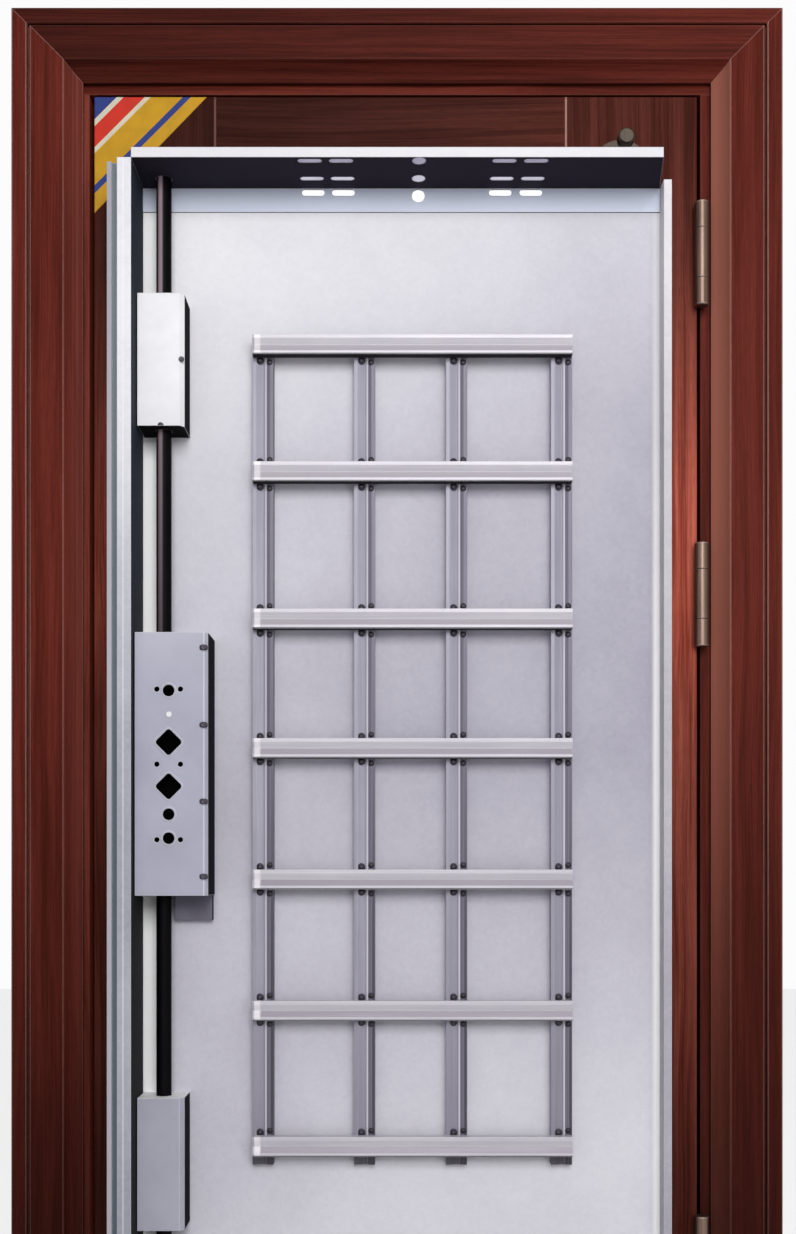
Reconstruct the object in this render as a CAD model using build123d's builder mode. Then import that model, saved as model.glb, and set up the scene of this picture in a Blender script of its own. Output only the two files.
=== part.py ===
from build123d import *
import os

os.makedirs("parts", exist_ok=True)

# Steel security door in its cased frame, with the open steel tray on its leaf.
# All sizes are in millimetres. X runs to the right as the viewer sees the door, Z is up, and
# the viewer stands on the -Y side. The origin is on the underside of the sill, at its centre.

# Frame
frame_width = 960.0
frame_height = 2050.0
frame_depth = 100.0
frame_sheet = 2.0
lock_jamb_face = 44.5
hinge_jamb_face = 50.5
head_face = 50.0
stop_cover = 23.5
stop_clearance = 8.0
sill_top = 30.0
sill_stop_top = 50.0
seal_thickness = 3.0
seal_width = 10.0
anchor_radius = 5.25
anchor_inset = 21.0
anchor_rise = 350.0
anchor_drop = 300.0

# Casing, the folded surround in front of the wall
casing_overlap = 60.0
casing_width = 97.0
casing_proud = 26.0
casing_sheet = 1.6
bead_width = 22.0
bead_drop = 3.0
groove_width = 4.0
groove_depth = 9.0
flat_width = 49.0
edge_break = 1.6
nose_width = 3.0
nose_proud = 7.0

# Leaf
leaf_thickness = 50.0
leaf_skin = 1.5
leaf_setback = 6.0
lock_gap = 8.0
hinge_gap = 6.0
head_gap = 6.0
sill_gap = 8.0
leaf_edge_radius = 1.2
back_skin_gap = 0.3
back_skin_return = 18.0
face_line_width = 3.0
face_line_depth = 0.8
lock_stile_face = 170.6
hinge_stile_face = 184.9

# Hinges
barrel_radius = 10.3
barrel_over_leaf = 2.2
pin_radius = 5.0
pin_clearance = 0.05
barrel_height = 142.0
middle_knuckle = 69.0
knuckle_gap = 1.0
hinge_plate = 4.0
hinge_plate_reach = 30.0
barrel_face_gap = 0.5
plate_end_gap = 0.2
top_hinge_drop = 227.0
middle_hinge_drop = 705.0
bottom_hinge_rise = 307.0

# Tray on the front of the leaf
tray_depth = 90.0
tray_sheet = 2.0
tray_margin = 118.0
tray_left_inset = 34.5
tray_right_inset = 41.5
stile_width = 35.0
stile_lip = 19.0
stile_flange = 6.5
stile_step = 12.0
stile_groove = 4.0
wall_height = 13.5
wall_splay = 12.0
wall_back_flange = 33.0
right_wall_width = 11.0
right_wall_depth = 30.0

# Slots in the top wall: a round hole with two pairs of slots on each side, in two rows,
# and a third row in the back flange, against the fold
slot_length = 32.0
slot_width = 9.0
slot_hole_radius = 9.0
slot_centre_inset = 423.0
slot_places = (-148.0, -105.5, 115.5, 158.5)
slot_row_insets = (10.0, 58.0)
slot_fold_gap = 1.0

# Grid of channels, each with a groove pressed along its face
channel_depth = 15.0
channel_sheet = 1.5
channel_ridge = 5.0
channel_groove = 3.5
rail_width = 27.5
bar_width = 29.5
grid_inset = 157.0
grid_width = 445.0
bar_overrun = 14.0
rail_rises = (586.0, 409.5, 205.0, 25.0, -157.5, -340.0, -529.0)
bar_insets = (13.5, 155.5, 284.3, 431.2)

# Lock boxes and rods
box_sheet = 1.5
box_stile_gap = 2.0
aux_width = 64.0
aux_depth = 54.0
aux_height = 182.0
aux_break = 6.0
upper_box_drop = 259.5
lower_box_rise = 329.5
main_width = 99.0
main_depth = 72.0
main_height = 358.0
main_break = 5.0
main_box_height = 1047.0
rod_radius = 10.5
rod_clearance = 0.5
rod_travel = 20.0
rod_engagement = 40.0
rod_end_reveal = 8.0

# Holes of the main cover: sideways place and heights measured up from its middle
cover_hole_x = 46.0
round_hole_radius = 8.0
round_hole_heights = (99.5, -68.5, -101.0)
diamond_heights = (29.5, -30.5)
diamond_half = 19.2
diamond_round = 4.5
collar_width = 2.2
collar_proud = 0.8
screw_hole_radius = 3.6
screw_pitch = 32.0
screw_row_heights = (101.5, -0.5, -103.0)

# Lock body behind the cover
body_width = 72.0
body_depth = 52.0
body_gap = 4.0

# Round bronze fitting near the top right of the face
knob_inset = 108.5
knob_rise = 34.0
rosette_width = 62.0
rosette_height = 41.0
rosette_depth = 5.0
stem_radius = 6.0
stem_length = 38.0
knob_radius = 11.5
knob_length = 14.0
knob_break = 2.5

# Places worked out from the sizes above
front_y = -frame_depth / 2 + leaf_setback
back_y = frame_depth / 2
face_y = front_y - leaf_setback
leaf_back_y = face_y + leaf_thickness
stop_y = leaf_back_y + stop_clearance
half_width = frame_width / 2
reveal_left = -half_width + lock_jamb_face
reveal_right = half_width - hinge_jamb_face
stop_left = reveal_left + stop_cover
stop_right = reveal_right - stop_cover
reveal_top = frame_height - head_face
stop_top = reveal_top - stop_cover
leaf_left = reveal_left + lock_gap
leaf_right = reveal_right - hinge_gap
leaf_bottom = sill_top + sill_gap
leaf_top = reveal_top - head_gap
casing_outer = half_width + casing_overlap
casing_top = frame_height + casing_overlap
hinge_heights = {
    "top": leaf_top - top_hinge_drop,
    "middle": leaf_top - middle_hinge_drop,
    "bottom": leaf_bottom + bottom_hinge_rise,
}
pivot_x = leaf_right - hinge_plate - barrel_over_leaf + barrel_radius
pivot_y = face_y - barrel_radius - barrel_face_gap
tray_left = leaf_left + tray_left_inset
tray_right = leaf_right - tray_right_inset
tray_bottom = leaf_bottom + tray_margin
tray_top = leaf_top - tray_margin
tray_front_y = face_y - tray_depth
stile_right = tray_left + stile_width
sheet_y = face_y - tray_sheet
inner_top = tray_top - wall_height
inner_bottom = tray_bottom + wall_height
right_wall_left = tray_right - right_wall_width
box_left = stile_right + box_stile_gap
rod_x = box_left + aux_width / 2
rod_y = sheet_y - aux_depth / 2
rod_hole = rod_radius + rod_clearance
main_top = main_box_height + main_height / 2
main_bottom = main_box_height - main_height / 2
upper_box_height = inner_top - upper_box_drop
lower_box_height = inner_bottom + lower_box_rise
grid_left = stile_right + grid_inset
rail_heights = [main_box_height + rise for rise in rail_rises]
bar_top = rail_heights[0] + rail_width / 2
bar_bottom = rail_heights[-1] - rail_width / 2 - bar_overrun
bar_face_y = sheet_y - channel_depth
knob_x = leaf_right - knob_inset
knob_height = tray_top + knob_rise
slot_centre_x = tray_left + slot_centre_inset


def finish(builder, name):
    """Label one piece and write its STEP file."""
    builder.part.label = name
    export_step(builder.part, f"parts/{name}.step")


def tube_section(points, wall):
    """Draw a closed outline and hollow it to the given wall."""
    with BuildSketch() as section:
        with BuildLine():
            Polyline(*points, close=True)
        make_face()
        offset(amount=-wall, kind=Kind.INTERSECTION, mode=Mode.SUBTRACT)
    return section.sketch_local


def jamb_points(side, reveal, stop):
    """Outline of a jamb in plan: the side is -1 on the left and 1 on the right."""
    outer = side * half_width
    return [
        (outer, front_y),
        (reveal, front_y),
        (reveal, stop_y),
        (stop, stop_y),
        (stop, back_y),
        (outer, back_y),
    ]


def jamb_part(side, reveal, stop):
    """A folded jamb with its wall anchor holes through the stop."""
    with BuildPart() as jamb:
        with BuildSketch():
            add(tube_section(jamb_points(side, reveal, stop), frame_sheet))
        extrude(amount=reveal_top)
        anchor_y = back_y - anchor_inset
        for level in (anchor_rise, frame_height - anchor_drop):
            with Locations((side * half_width, anchor_y, level)):
                Cylinder(anchor_radius, 2 * half_width, rotation=(0, 90, 0), mode=Mode.SUBTRACT)
    return jamb.part


def hinge_span(height):
    """Lowest and highest level of a hinge barrel."""
    return height - barrel_height / 2, height + barrel_height / 2


# Jambs: folded sections with a rebate, and recesses for the hinge plates
with BuildPart() as jamb_lock_side:
    add(jamb_part(-1, reveal_left, stop_left))
finish(jamb_lock_side, "jamb_lock_side")

with BuildPart() as jamb_hinge_side:
    add(jamb_part(1, reveal_right, stop_right))
    for height in hinge_heights.values():
        with Locations((reveal_right, front_y, height)):
            Box(
                hinge_plate,
                hinge_plate_reach + plate_end_gap,
                barrel_height + 2 * plate_end_gap,
                align=(Align.MIN, Align.MIN, Align.CENTER),
                mode=Mode.SUBTRACT,
            )
finish(jamb_hinge_side, "jamb_hinge_side")

# Head: the full section between the stops, the plain box section over the jambs
with BuildPart() as frame_head:
    with BuildSketch(Plane.YZ.offset(stop_left)):
        add(tube_section(
            [
                (front_y, reveal_top),
                (stop_y, reveal_top),
                (stop_y, stop_top),
                (back_y, stop_top),
                (back_y, frame_height),
                (front_y, frame_height),
            ],
            frame_sheet,
        ))
    extrude(amount=stop_right - stop_left)
    for start, length in (
        (-half_width, stop_left + half_width),
        (stop_right, half_width - stop_right),
    ):
        with BuildSketch(Plane.YZ.offset(start)):
            add(tube_section(
                [
                    (front_y, reveal_top),
                    (back_y, reveal_top),
                    (back_y, frame_height),
                    (front_y, frame_height),
                ],
                frame_sheet,
            ))
        extrude(amount=length)
    for side in (-1, 1):
        with Locations((side * half_width, front_y, reveal_top)):
            Box(
                frame_sheet,
                back_y - front_y,
                head_face,
                align=(Align.MIN if side < 0 else Align.MAX, Align.MIN, Align.MIN),
            )
finish(frame_head, "frame_head")

# Sill: the same rebate turned upward, with plain ends between the jambs
with BuildPart() as threshold:
    with BuildSketch(Plane.YZ.offset(stop_left)):
        add(tube_section(
            [
                (front_y, 0),
                (front_y, sill_top),
                (stop_y, sill_top),
                (stop_y, sill_stop_top),
                (back_y, sill_stop_top),
                (back_y, 0),
            ],
            frame_sheet,
        ))
    extrude(amount=stop_right - stop_left)
    for start, length in (
        (reveal_left, stop_left - reveal_left),
        (stop_right, reveal_right - stop_right),
    ):
        with BuildSketch(Plane.YZ.offset(start)):
            add(tube_section(
                [(front_y, 0), (front_y, sill_top), (stop_y, sill_top), (stop_y, 0)],
                frame_sheet,
            ))
        extrude(amount=length)
finish(threshold, "threshold")

# Rubber seal round three sides of the rebate
with BuildPart() as frame_seal:
    with BuildSketch(Plane.XZ.offset(-stop_y)):
        with BuildLine():
            Polyline(
                (stop_left, sill_stop_top),
                (stop_left, stop_top),
                (stop_right, stop_top),
                (stop_right, sill_stop_top),
                (stop_right + seal_width, sill_stop_top),
                (stop_right + seal_width, stop_top + seal_width),
                (stop_left - seal_width, stop_top + seal_width),
                (stop_left - seal_width, sill_stop_top),
                close=True,
            )
        make_face()
    extrude(amount=seal_thickness)
finish(frame_seal, "frame_seal")


# Casing section: inward distance from the outer edge, and how far it stands off the wall
bead_proud = casing_proud - bead_drop
groove_proud = bead_proud - groove_depth
groove_start = bead_width
flat_start = groove_start + groove_width
flat_end = flat_start + flat_width
nose_start = casing_width - nose_width


def casing_section(place):
    """Draw the folded casing profile; place turns (inward, proud) into sketch coordinates."""
    middle_inward = (flat_end + nose_start) / 2 - edge_break
    middle_proud = (casing_proud + nose_proud) / 2 - edge_break
    with BuildSketch() as section:
        with BuildLine():
            Polyline(
                place(nose_start, nose_proud + edge_break),
                place(casing_width, nose_proud),
                place(casing_width, 0),
                place(0, 0),
                place(0, bead_proud - edge_break),
                place(edge_break, bead_proud),
                place(groove_start - edge_break, bead_proud),
                place(groove_start, bead_proud - edge_break),
                place(groove_start, groove_proud),
                place(flat_start, groove_proud),
                place(flat_start, casing_proud - edge_break),
                place(flat_start + edge_break, casing_proud),
                place(flat_end - edge_break, casing_proud),
                place(flat_end, casing_proud - edge_break),
            )
            ThreePointArc(
                place(flat_end, casing_proud - edge_break),
                place(middle_inward, middle_proud),
                place(nose_start, nose_proud + edge_break),
            )
        make_face()
        offset(amount=-casing_sheet, kind=Kind.INTERSECTION, mode=Mode.SUBTRACT)
    return section.sketch_local


def mitre(side):
    """Plane of the mitred joint at one upper corner."""
    return Plane(origin=(side * casing_outer, front_y, casing_top), z_dir=(-side, 0, 1))


for name, side in (("casing_left", -1), ("casing_right", 1)):
    with BuildPart() as casing_side:
        with BuildSketch():
            add(casing_section(lambda inward, proud: (side * (casing_outer - inward), front_y - proud)))
        extrude(amount=casing_top)
        split(bisect_by=mitre(side), keep=Keep.BOTTOM)
    finish(casing_side, name)

with BuildPart() as casing_head:
    with BuildSketch(Plane.YZ.offset(-casing_outer)):
        add(casing_section(lambda inward, proud: (front_y - proud, casing_top - inward)))
    extrude(amount=2 * casing_outer)
    split(bisect_by=mitre(-1), keep=Keep.TOP)
    split(bisect_by=mitre(1), keep=Keep.TOP)
finish(casing_head, "casing_head")

# Leaf: a front pan with its pressed face lines, and a back pan inside its edges
leaf_x = (leaf_left + leaf_right) / 2
leaf_z = (leaf_bottom + leaf_top) / 2
leaf_width = leaf_right - leaf_left
leaf_height = leaf_top - leaf_bottom
face_lines = (leaf_left + lock_stile_face, leaf_right - hinge_stile_face)
with BuildPart() as leaf_front_skin:
    with Locations((leaf_x, face_y, leaf_z)):
        Box(leaf_width, leaf_thickness, leaf_height, align=(Align.CENTER, Align.MIN, Align.CENTER))
    front_edges = leaf_front_skin.faces().sort_by(Axis.Y)[0].edges()
    fillet(front_edges, radius=leaf_edge_radius)
    rear = leaf_front_skin.faces().sort_by(Axis.Y)[-1]
    offset(amount=-leaf_skin, openings=rear)
    for line_x in face_lines:
        with Locations((line_x, face_y, leaf_z)):
            Box(
                face_line_width,
                2 * face_line_depth,
                leaf_height - 2 * leaf_skin,
                mode=Mode.SUBTRACT,
            )
    for height in hinge_heights.values():
        with Locations((leaf_right, face_y, height)):
            Box(
                hinge_plate,
                hinge_plate_reach,
                middle_knuckle + 2 * plate_end_gap,
                align=(Align.MAX, Align.MIN, Align.CENTER),
                mode=Mode.SUBTRACT,
            )
finish(leaf_front_skin, "leaf_front_skin")

back_skin_inset = leaf_skin + back_skin_gap
with BuildPart() as leaf_back_skin:
    with Locations((leaf_x, leaf_back_y, leaf_z)):
        Box(
            leaf_width - 2 * back_skin_inset,
            back_skin_return,
            leaf_height - 2 * back_skin_inset,
            align=(Align.CENTER, Align.MAX, Align.CENTER),
        )
    inside = leaf_back_skin.faces().sort_by(Axis.Y)[0]
    offset(amount=-leaf_skin, openings=inside)
    for line_x in face_lines:
        with Locations((line_x, leaf_back_y, leaf_z)):
            Box(
                face_line_width,
                2 * face_line_depth,
                leaf_height - 2 * back_skin_return,
                mode=Mode.SUBTRACT,
            )
finish(leaf_back_skin, "leaf_back_skin")

# Hinges: outer knuckles and pin on the frame, middle knuckle on the leaf
outer_knuckle = (barrel_height - middle_knuckle) / 2 - knuckle_gap
for place, height in hinge_heights.items():
    low, high = hinge_span(height)
    with BuildPart() as hinge_frame:
        with Locations((reveal_right, front_y, height)):
            Box(
                hinge_plate,
                hinge_plate_reach,
                barrel_height,
                align=(Align.MIN, Align.MIN, Align.CENTER),
            )
        for start in (low, high - outer_knuckle):
            with BuildSketch(Plane.XY.offset(start)):
                with Locations((pivot_x, pivot_y)):
                    Circle(barrel_radius)
                with Locations((reveal_right, pivot_y)):
                    Rectangle(
                        hinge_plate,
                        front_y - pivot_y,
                        align=(Align.MIN, Align.MIN),
                    )
            extrude(amount=outer_knuckle)
        with BuildSketch(Plane.XY.offset(low)):
            with Locations((pivot_x, pivot_y)):
                Circle(pin_radius)
        extrude(amount=barrel_height)
    finish(hinge_frame, f"hinge_frame_{place}")

    with BuildPart() as hinge_leaf:
        with BuildSketch(Plane.XY.offset(height - middle_knuckle / 2)):
            with Locations((pivot_x, pivot_y)):
                Circle(barrel_radius)
            with Locations((leaf_right, pivot_y)):
                Rectangle(
                    hinge_plate,
                    face_y + hinge_plate_reach - pivot_y,
                    align=(Align.MAX, Align.MIN),
                )
            with Locations((pivot_x, pivot_y)):
                Circle(pin_radius + pin_clearance, mode=Mode.SUBTRACT)
        extrude(amount=middle_knuckle)
    finish(hinge_leaf, f"hinge_leaf_{place}")

# Bronze round fitting: an oval rosette, a stem and a domed knob
with BuildPart() as face_knob:
    with BuildSketch(Plane.XZ.offset(-face_y)):
        with Locations((knob_x, knob_height)):
            Ellipse(rosette_width / 2, rosette_height / 2)
    extrude(amount=rosette_depth)
    stem_plane = Plane(
        origin=(knob_x, face_y - rosette_depth, knob_height),
        x_dir=(0, -1, 0),
        z_dir=(1, 0, 0),
    )
    with BuildSketch(stem_plane):
        with BuildLine():
            Polyline(
                (stem_length + knob_length, 0),
                (0, 0),
                (0, stem_radius),
                (stem_length, stem_radius),
                (stem_length + knob_break, knob_radius),
                (stem_length + knob_length - knob_break, knob_radius),
                (stem_length + knob_length, knob_radius - knob_break),
                close=True,
            )
        make_face()
    revolve(axis=Axis((knob_x, face_y, knob_height), (0, -1, 0)))
finish(face_knob, "face_knob")

# Tray: back sheet
with BuildPart() as tray_back_sheet:
    with Locations((stile_right, face_y, inner_bottom)):
        Box(
            right_wall_left - stile_right,
            tray_sheet,
            inner_top - inner_bottom,
            align=(Align.MIN, Align.MAX, Align.MIN),
        )
finish(tray_back_sheet, "tray_back_sheet")

# Tray: lock stile, a folded box with a stepped front edge
step_y = tray_front_y + stile_step
lip_left = stile_right - stile_lip
flange_right = tray_left + stile_flange
with BuildPart() as tray_lock_stile:
    with BuildSketch(Plane.XY.offset(inner_bottom)):
        add(tube_section(
            [
                (tray_left, face_y),
                (tray_left, step_y),
                (flange_right, step_y),
                (flange_right, step_y + stile_groove),
                (lip_left, step_y + stile_groove),
                (lip_left, tray_front_y),
                (stile_right, tray_front_y),
                (stile_right, face_y),
            ],
            tray_sheet,
        ))
    extrude(amount=inner_top - inner_bottom)
finish(tray_lock_stile, "tray_lock_stile")


def wall_channel(level, upward):
    """An end wall of the tray: lips turned away from the tray, and a flange on the back sheet."""
    with BuildPart() as channel:
        with BuildSketch(Plane.YZ.offset(stile_right)):
            with BuildLine():
                Polyline(
                    (tray_front_y, level),
                    (tray_front_y, level + upward * wall_height),
                    (tray_front_y + tray_sheet, level + upward * wall_height),
                    (tray_front_y + tray_sheet, level + upward * tray_sheet),
                    (sheet_y, level + upward * tray_sheet),
                    (sheet_y, level + upward * wall_height),
                    (face_y, level + upward * wall_height),
                    (face_y, level),
                    (sheet_y, level),
                    (sheet_y, level - upward * wall_back_flange),
                    (sheet_y - tray_sheet, level - upward * wall_back_flange),
                    (sheet_y - tray_sheet, level),
                    close=True,
                )
            make_face()
        extrude(amount=right_wall_left - stile_right)
        with BuildSketch(Plane.XY.offset(tray_bottom)):
            with BuildLine():
                Polyline(
                    (right_wall_left, face_y),
                    (right_wall_left - wall_splay, tray_front_y),
                    (right_wall_left, tray_front_y),
                    close=True,
                )
            make_face()
        extrude(amount=tray_top - tray_bottom, mode=Mode.SUBTRACT)
        with Locations((rod_x, rod_y, level)):
            Cylinder(rod_hole, 4 * tray_sheet, mode=Mode.SUBTRACT)
    return channel.part


with BuildPart() as tray_top_wall:
    add(wall_channel(inner_top, 1))
    for inset in slot_row_insets:
        row_y = tray_front_y + inset
        with BuildSketch(Plane.XY.offset(inner_top)):
            with Locations((slot_centre_x, row_y)):
                Circle(slot_hole_radius)
            with Locations([(slot_centre_x + place, row_y) for place in slot_places]):
                SlotOverall(slot_length, slot_width)
        extrude(amount=tray_sheet, mode=Mode.SUBTRACT)
    with BuildSketch(Plane.XZ.offset(-sheet_y)):
        with Locations((slot_centre_x, inner_top - slot_fold_gap - slot_hole_radius)):
            Circle(slot_hole_radius)
        row_height = inner_top - slot_fold_gap - slot_width / 2
        with Locations([(slot_centre_x + place, row_height) for place in slot_places]):
            SlotOverall(slot_length, slot_width)
    extrude(amount=tray_sheet, mode=Mode.SUBTRACT)
finish(tray_top_wall, "tray_top_wall")

with BuildPart() as tray_bottom_wall:
    add(wall_channel(inner_bottom, -1))
finish(tray_bottom_wall, "tray_bottom_wall")

# Tray: low right wall
with BuildPart() as tray_right_wall:
    with BuildSketch(Plane.XY.offset(inner_bottom)):
        add(tube_section(
            [
                (right_wall_left, face_y),
                (right_wall_left, face_y - right_wall_depth),
                (tray_right, face_y - right_wall_depth),
                (tray_right, face_y),
            ],
            tray_sheet,
        ))
    extrude(amount=inner_top - inner_bottom)
finish(tray_right_wall, "tray_right_wall")


# Grid: seven rails in front of four bars, all folded channels with a grooved face
def channel_section(width):
    """Draw a channel, its open side on the sketch's X axis and its grooved face towards +Y."""
    half = width / 2
    wall = channel_sheet
    floor = channel_depth - channel_sheet
    with BuildSketch() as section:
        with BuildLine():
            Polyline(
                (-half, 0),
                (-half, channel_depth),
                (-half + channel_ridge, channel_depth),
                (0, channel_depth - channel_groove),
                (half - channel_ridge, channel_depth),
                (half, channel_depth),
                (half, 0),
                (half - wall, 0),
                (half - wall, floor),
                (half - channel_ridge, floor),
                (0, floor - channel_groove),
                (-half + channel_ridge, floor),
                (-half + wall, floor),
                (-half + wall, 0),
                close=True,
            )
        make_face()
    return section.sketch_local


for number, inset in enumerate(bar_insets, start=1):
    seat = Plane(origin=(grid_left + inset, sheet_y, bar_bottom), x_dir=(-1, 0, 0), z_dir=(0, 0, 1))
    with BuildPart() as grid_bar:
        with BuildSketch(seat):
            add(channel_section(bar_width))
        extrude(amount=bar_top - bar_bottom)
    finish(grid_bar, f"grid_bar_{number}")

for number, height in enumerate(rail_heights, start=1):
    seat = Plane(origin=(grid_left, bar_face_y, height), x_dir=(0, 0, 1), z_dir=(1, 0, 0))
    with BuildPart() as grid_rail:
        with BuildSketch(seat):
            add(channel_section(rail_width))
        extrude(amount=grid_width)
    finish(grid_rail, f"grid_rail_{number}")


# Lock covers: folded boxes open at the back sheet, with holes for the rods
def lock_cover(width, depth, height, middle, edge):
    """Make a folded cover on the back sheet, beside the lock stile."""
    with BuildPart() as cover:
        with BuildSketch(Plane.XY.offset(middle - height / 2)):
            with BuildLine():
                Polyline(
                    (box_left, sheet_y),
                    (box_left, sheet_y - depth),
                    (box_left + width - edge, sheet_y - depth),
                    (box_left + width, sheet_y - depth + edge),
                    (box_left + width, sheet_y),
                    close=True,
                )
            make_face()
        extrude(amount=height)
        with BuildSketch(Plane.XY.offset(middle - height / 2 + box_sheet)):
            with Locations((box_left + box_sheet, sheet_y)):
                Rectangle(
                    width - 2 * box_sheet,
                    depth - box_sheet - edge,
                    align=(Align.MIN, Align.MAX),
                )
            with Locations((box_left + box_sheet, sheet_y)):
                Rectangle(
                    width - box_sheet - edge,
                    depth - box_sheet,
                    align=(Align.MIN, Align.MAX),
                )
        extrude(amount=height - 2 * box_sheet, mode=Mode.SUBTRACT)
        with Locations((rod_x, rod_y, middle)):
            Cylinder(rod_hole, 2 * height, mode=Mode.SUBTRACT)
    return cover.part


with BuildPart() as upper_lock_box:
    add(lock_cover(aux_width, aux_depth, aux_height, upper_box_height, aux_break))
finish(upper_lock_box, "upper_lock_box")

with BuildPart() as lower_lock_box:
    add(lock_cover(aux_width, aux_depth, aux_height, lower_box_height, aux_break))
finish(lower_lock_box, "lower_lock_box")

cover_x = box_left + cover_hole_x
cover_front_y = sheet_y - main_depth
with BuildPart() as main_lock_box:
    add(lock_cover(main_width, main_depth, main_height, main_box_height, main_break))
    with BuildSketch(Plane.XZ.offset(-cover_front_y)):
        for up in screw_row_heights:
            with Locations((cover_x, main_box_height + up)):
                with GridLocations(screw_pitch, 0, 2, 1):
                    Circle(screw_hole_radius)
    extrude(amount=-box_sheet, mode=Mode.SUBTRACT)
    for rim, start, depth, mode in (
        (collar_width, collar_proud, collar_proud, Mode.ADD),
        (0, collar_proud, collar_proud + box_sheet, Mode.SUBTRACT),
    ):
        with BuildSketch(Plane.XZ.offset(start - cover_front_y)):
            with Locations([(cover_x, main_box_height + up) for up in round_hole_heights]):
                Circle(round_hole_radius + rim)
            for up in diamond_heights:
                with Locations((cover_x, main_box_height + up)):
                    RectangleRounded(
                        diamond_half * 2**0.5 + 2 * rim,
                        diamond_half * 2**0.5 + 2 * rim,
                        diamond_round + rim,
                        rotation=45,
                    )
        extrude(amount=-depth, mode=mode)
finish(main_lock_box, "main_lock_box")

rod_inner_top = main_top - rod_engagement
rod_inner_bottom = main_bottom + rod_engagement
with BuildPart() as lock_body:
    with Locations((cover_x, sheet_y, (rod_inner_top + rod_inner_bottom) / 2)):
        Box(
            body_width,
            body_depth,
            rod_inner_top - rod_inner_bottom - 2 * body_gap,
            align=(Align.CENTER, Align.MAX, Align.CENTER),
        )
finish(lock_body, "lock_body")

# Rods: from inside the main cover, through the small boxes, into the end walls
for name, start, end in (
    ("upper_rod", rod_inner_top, inner_top + rod_end_reveal),
    ("lower_rod", inner_bottom - rod_end_reveal, rod_inner_bottom),
):
    with BuildPart() as rod:
        with BuildSketch(Plane.XY.offset(start)):
            with Locations((rod_x, rod_y)):
                Circle(rod_radius)
        extrude(amount=end - start)
        chamfer(rod.edges().filter_by(GeomType.CIRCLE), length=1)
    finish(rod, name)
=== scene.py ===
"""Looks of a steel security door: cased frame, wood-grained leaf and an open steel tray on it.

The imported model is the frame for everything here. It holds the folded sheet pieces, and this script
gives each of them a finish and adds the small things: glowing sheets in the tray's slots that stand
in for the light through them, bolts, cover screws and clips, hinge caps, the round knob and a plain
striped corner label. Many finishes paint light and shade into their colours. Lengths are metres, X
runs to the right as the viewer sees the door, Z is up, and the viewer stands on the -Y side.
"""

import logging
import math
from collections.abc import Sequence
from dataclasses import dataclass, replace
from enum import Enum, IntEnum

import bpy
import numpy as np
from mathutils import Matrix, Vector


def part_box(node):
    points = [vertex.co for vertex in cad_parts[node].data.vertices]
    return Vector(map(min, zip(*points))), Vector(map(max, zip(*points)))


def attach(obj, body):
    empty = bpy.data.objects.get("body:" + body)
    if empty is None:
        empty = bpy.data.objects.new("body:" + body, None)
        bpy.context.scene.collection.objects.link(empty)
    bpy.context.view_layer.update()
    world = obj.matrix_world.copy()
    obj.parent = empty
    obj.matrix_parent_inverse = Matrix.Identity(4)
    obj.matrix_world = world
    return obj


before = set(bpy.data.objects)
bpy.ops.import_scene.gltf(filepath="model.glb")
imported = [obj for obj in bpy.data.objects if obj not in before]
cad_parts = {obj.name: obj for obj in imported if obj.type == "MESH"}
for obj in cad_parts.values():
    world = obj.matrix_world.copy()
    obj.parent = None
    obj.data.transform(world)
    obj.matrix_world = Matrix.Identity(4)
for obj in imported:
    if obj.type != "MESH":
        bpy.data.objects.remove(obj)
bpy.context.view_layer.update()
LOG = logging.getLogger("door")

Colour = tuple[float, float, float, float]
Socket = bpy.types.NodeSocket
Value = Socket | float | tuple
Stops = tuple[tuple[float, float], ...]
Pairs = Sequence[tuple[float, float]]
Point = tuple[float, float, float]
Box = tuple[Vector, Vector]


def linear(code: str) -> Colour:
    """Turn a screen colour into the linear values that a shader reads.

    Args:
        code: The colour as a hash sign and six hexadecimal digits.

    Returns:
        Red, green and blue on a linear scale, and an alpha of 1.
    """
    shown = np.array([int(code[i : i + 2], 16) for i in (1, 3, 5)]) / 255
    straight = shown / 12.92
    curved = ((shown + 0.055) / 1.055) ** 2.4
    return (*np.where(shown <= 0.04045, straight, curved).tolist(), 1.0)


class Axis(IntEnum):
    """A direction of the door, as its place in a point."""

    RIGHT = 0
    BACK = 1
    UP = 2


class Facing(Enum):
    """Which way a small piece faces, as its across, up and outward directions."""

    VIEWER = ((1, 0, 0), (0, 0, 1), (0, -1, 0))
    UP = ((1, 0, 0), (0, 1, 0), (0, 0, 1))
    DOWN = ((1, 0, 0), (0, -1, 0), (0, 0, -1))


class Ride(Enum):
    """The body that a small piece rides on, and the name of a material slot."""

    HINGE = ("frame", "hinge_bronze")
    LABEL = ("leaf", "leaf_wood_grain")
    KNOB = ("leaf", "knob_bronze")
    TRAY = ("leaf", "tray_steel")
    GRID = ("leaf", "grid_steel")
    COVER = ("leaf", "lock_cover_steel")


class Run(Enum):
    """Which way grain or brush lines run on a piece."""

    UPRIGHT = "upright"
    ACROSS = "across"
    FRAMED = "framed"


class Reading(Enum):
    """What a patch of colour goes by: where a point is, or which way its face looks."""

    PLACE = "Object"
    FACE = "Normal"


@dataclass(frozen=True)
class Patch:
    """A stretch of a piece that has its own tone, between two values along one axis.

    Where levels are given, the share at their first height is multiplied by low_share, and
    reaches its full value at the second. A dull of 1 takes the gloss off.
    """

    reading: Reading
    axis: Axis
    low: float
    high: float
    colour: str
    share: float = 1.0
    soft: float = 0.0004
    levels: tuple[float, float] | None = None
    low_share: float = 0.0
    dull: float = 0.0


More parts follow.
